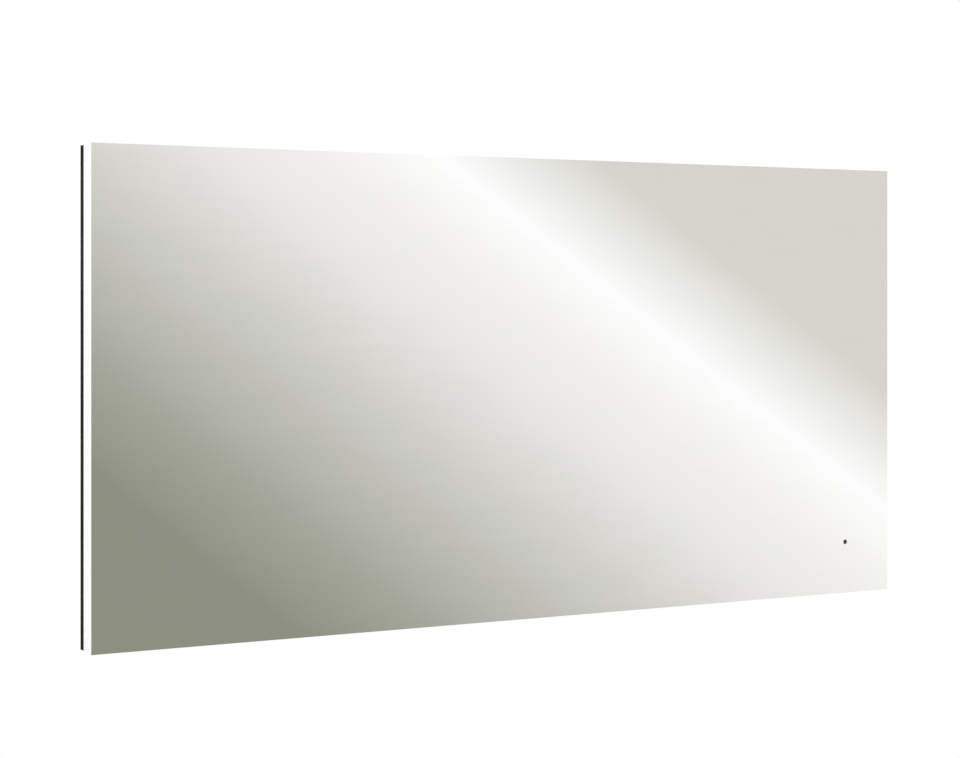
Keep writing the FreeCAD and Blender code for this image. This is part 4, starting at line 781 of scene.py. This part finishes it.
# %% [markdown]
# ## Rubber bumpers and the switch window
# Both are turned shapes: a profile of radii and depths spun round an axis along Y. The bumper has a soft
# shoulder and a shallow cup in its face, and the window ends in a polished dome with a fine chamfer, which
# is what puts the small glints round the dark dot.

# %% Bumpers and window
ROUND = np.linspace(0, math.tau, 48, endpoint=False)


def turned(radii, depths, angles=ROUND):
    return loft(at_depths(circles(radii, angles), depths))


bumper_low, bumper_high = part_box("bumpers")
bumper_radius = (bumper_high.z - bumper_low.z) / 2
BUMPER_SHARES = np.array([1, 1, 0.99, 0.94, 0.85, 0.73, 0.58, 0.43, 0.25])
bumper_depths = [-bumper_low.y, 0.0016, 0.0009, 0.0004, 0.0001, 0.0, 0.0002, 0.0005, 0.0007]
bumper = turned(bumper_radius * BUMPER_SHARES, bumper_depths)
bumper_spots = spots([bumper_high.x - bumper_radius], [bumper_low.z + bumper_radius])
new_piece("bumper_buttons", repeat(bumper, bumper_spots), "black_rubber", ["bumpers"])

window_base, window_tip = -lens_high.y, -lens_low.y
shoulder = window_base + 0.0015
flange_radii = [0.0043, 0.0045, 0.0045, 0.0043]
flange_depths = [window_base, window_base + 0.0002, shoulder - 0.0002, shoulder]
dome_radii = [0.0030, 0.0030, 0.0029, 0.0026, 0.0018, 0.0008]
dome_depths = [shoulder, window_tip - 0.00045, window_tip - 0.00025, window_tip - 0.0001,
               window_tip - 0.00003, window_tip]
window = turned(flange_radii + dome_radii, flange_depths + dome_depths)
window_spot = (lens_middle.x, 0, lens_middle.z)
new_piece("switch_window", repeat(window, [window_spot]), "smoked_lens", ["sensor_lens"])

# %% [markdown]
# ## The cable gland's cap
# A gland is tightened by hand first, so its cap has lobes to grip. Along the direction t the radius is
# r - d (1 - cos(n t)) / 2 for n lobes of depth d, and the lobes fade out towards the rounded end. The cap is
# hollow: the rings run down the outside, through the mouth and back up the inside to where they started.

# %% Gland cap
cap_low, cap_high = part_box("gland_cap")
cap_x, cap_w = (cap_low.x + cap_high.x) / 2, -(cap_low.y + cap_high.y) / 2
LOBES, LOBE_DEPTH = 12, 0.0006
around_cap = np.linspace(0, math.tau, 96, endpoint=False)
radii = np.array([0.0074, 0.0076, 0.0076, 0.0074, 0.0068, 0.0058, 0.0046, 0.0038, 0.0038, 0.00605, 0.00605])
lobes = np.array([0.4, 1.0, 1.0, 1.0, 0.4, 0.0, 0.0, 0.0, 0.0, 0.0, 0.0]) * LOBE_DEPTH
drop = np.array([0.0, 0.0004, 0.0072, 0.0088, 0.0100, 0.0107, 0.0110, 0.0108, 0.0092, 0.0092, 0.0])
reach = radii[:, None] - lobes[:, None] * (1 - np.cos(LOBES * around_cap))[None] / 2
rings = np.stack([cap_x + reach * np.cos(around_cap), -cap_w + reach * np.sin(around_cap),
                  np.broadcast_to((cap_high.z - drop)[:, None], reach.shape)], -1)
new_piece("lobed_cap", loft(rings, hollow=True), "box_plastic", ["gland_cap"], sharp=50)

# %% [markdown]
# ## Wound and canned parts on the driver board
# Wire on a core is one tube along a helix. The tube's section needs two directions square to the wire: one
# points out from the core, the other is its cross product with the wire's direction.

# %% Coils and capacitors


def wire(path, outward, radius, sides=6):
    """A tube along a path: point = path + radius (cos t outward + sin t binormal), its ends closed."""
    along = np.gradient(path, axis=0)
    along /= np.linalg.norm(along, axis=1, keepdims=True)
    outward = outward - (outward * along).sum(1, keepdims=True) * along
    outward /= np.linalg.norm(outward, axis=1, keepdims=True)
    binormal = np.cross(along, outward)
    t = np.linspace(0, math.tau, sides, endpoint=False)
    section = np.cos(t)[None, :, None] * outward[:, None] + np.sin(t)[None, :, None] * binormal[:, None]
    return loft(path[:, None] + radius * section)


def ring_winding(middle, ring, core, gauge, turns):
    """Wire round a ring: a helix on a torus about Y, and the torus itself inside it."""
    t = np.linspace(0, 0.94 * math.tau, turns * 14)
    round_ring = np.stack([np.cos(t), np.zeros_like(t), np.sin(t)], -1)
    up = np.array([0.0, 1.0, 0.0])
    outward = np.cos(turns * t)[:, None] * round_ring + np.sin(turns * t)[:, None] * up
    coil = wire(middle + ring * round_ring + (core + gauge) * outward, outward, gauge)
    s = np.linspace(0, math.tau, 40, endpoint=False)
    circle = np.stack([np.cos(s), np.zeros_like(s), np.sin(s)], -1)
    v = np.linspace(0, math.tau, 16, endpoint=False)
    outward_part = (ring + core * np.cos(v))[None, :, None] * circle[:, None]
    body = middle + outward_part + core * np.sin(v)[None, :, None] * up
    return coil, loft(body, hollow=True)


choke_low, choke_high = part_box("filter_choke")
choke_middle = np.array((choke_low + choke_high) / 2)
CHOKE_RING, CHOKE_CORE, CHOKE_GAUGE, CHOKE_TURNS = 0.0060, 0.0022, 0.00035, 26
choke_wire, choke_core = ring_winding(choke_middle, CHOKE_RING, CHOKE_CORE, CHOKE_GAUGE, CHOKE_TURNS)
new_piece("choke_winding", choke_wire, "copper", [])
new_piece("choke_ring", choke_core, "ferrite", ["filter_choke"])

coil_low, coil_high = (np.array(corner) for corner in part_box("transformer_winding"))
GAUGE = 0.0003
layers = int((coil_high[1] - coil_low[1]) / (2 * GAUGE))
size = coil_high - coil_low
COIL_CORNER = 0.002
turn = rounded_rectangles(size[0] - 2 * GAUGE, size[2] - 2 * GAUGE, COIL_CORNER, [0.0])[0]
laps = np.tile(turn, (layers, 1))
rise = np.linspace(coil_low[1] + GAUGE, coil_high[1] - GAUGE, len(laps))
middle = (coil_low + coil_high) / 2
winding_path = np.stack([middle[0] + laps[:, 0], rise, middle[2] + laps[:, 1]], -1)
spread = np.stack([laps[:, 0], np.zeros(len(laps)), laps[:, 1]], -1)
bobbin = rounded_rectangles(size[0], size[2], COIL_CORNER, [0.0007, 0.0007, 0.0059, 0.0059])
bobbin[..., 0] += middle[0]
bobbin[..., 1] += middle[2]
sheets = np.array([coil_low[1], coil_high[1], coil_high[1], coil_low[1]]) * -1
former = loft(at_depths(bobbin, sheets), hollow=True)
new_piece("transformer_turns", together([wire(winding_path, spread, GAUGE * 0.98), former]), "copper",
          ["transformer_winding"])

can_low, can_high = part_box("capacitors")
can_foot, can_top = -can_low.y, -can_high.y
can_radius = (can_high.x - can_low.x) / 2
can_x = (can_low.x + can_high.x) / 2
CAN_SHARES = np.array([0.94, 1.0, 1.0, 0.93, 0.93, 1.0, 1.0, 0.985, 0.94, 0.86, 0.84, 0.3])
foot_depths = [can_foot - step for step in (0, 0.0004, 0.0014, 0.0018, 0.0022, 0.0027)]
top_depths = [can_top + step for step in (0.0008, 0.0004, 0.0001, 0, 0.0003, 0.0003)]
can = turned(can_radius * CAN_SHARES, foot_depths + top_depths)
can_spots = [(can_x, 0, z) for z in (can_low.z + can_radius, can_high.z - can_radius)]
new_piece("sleeved_capacitors", repeat(can, can_spots), "black_gloss", ["capacitors"])
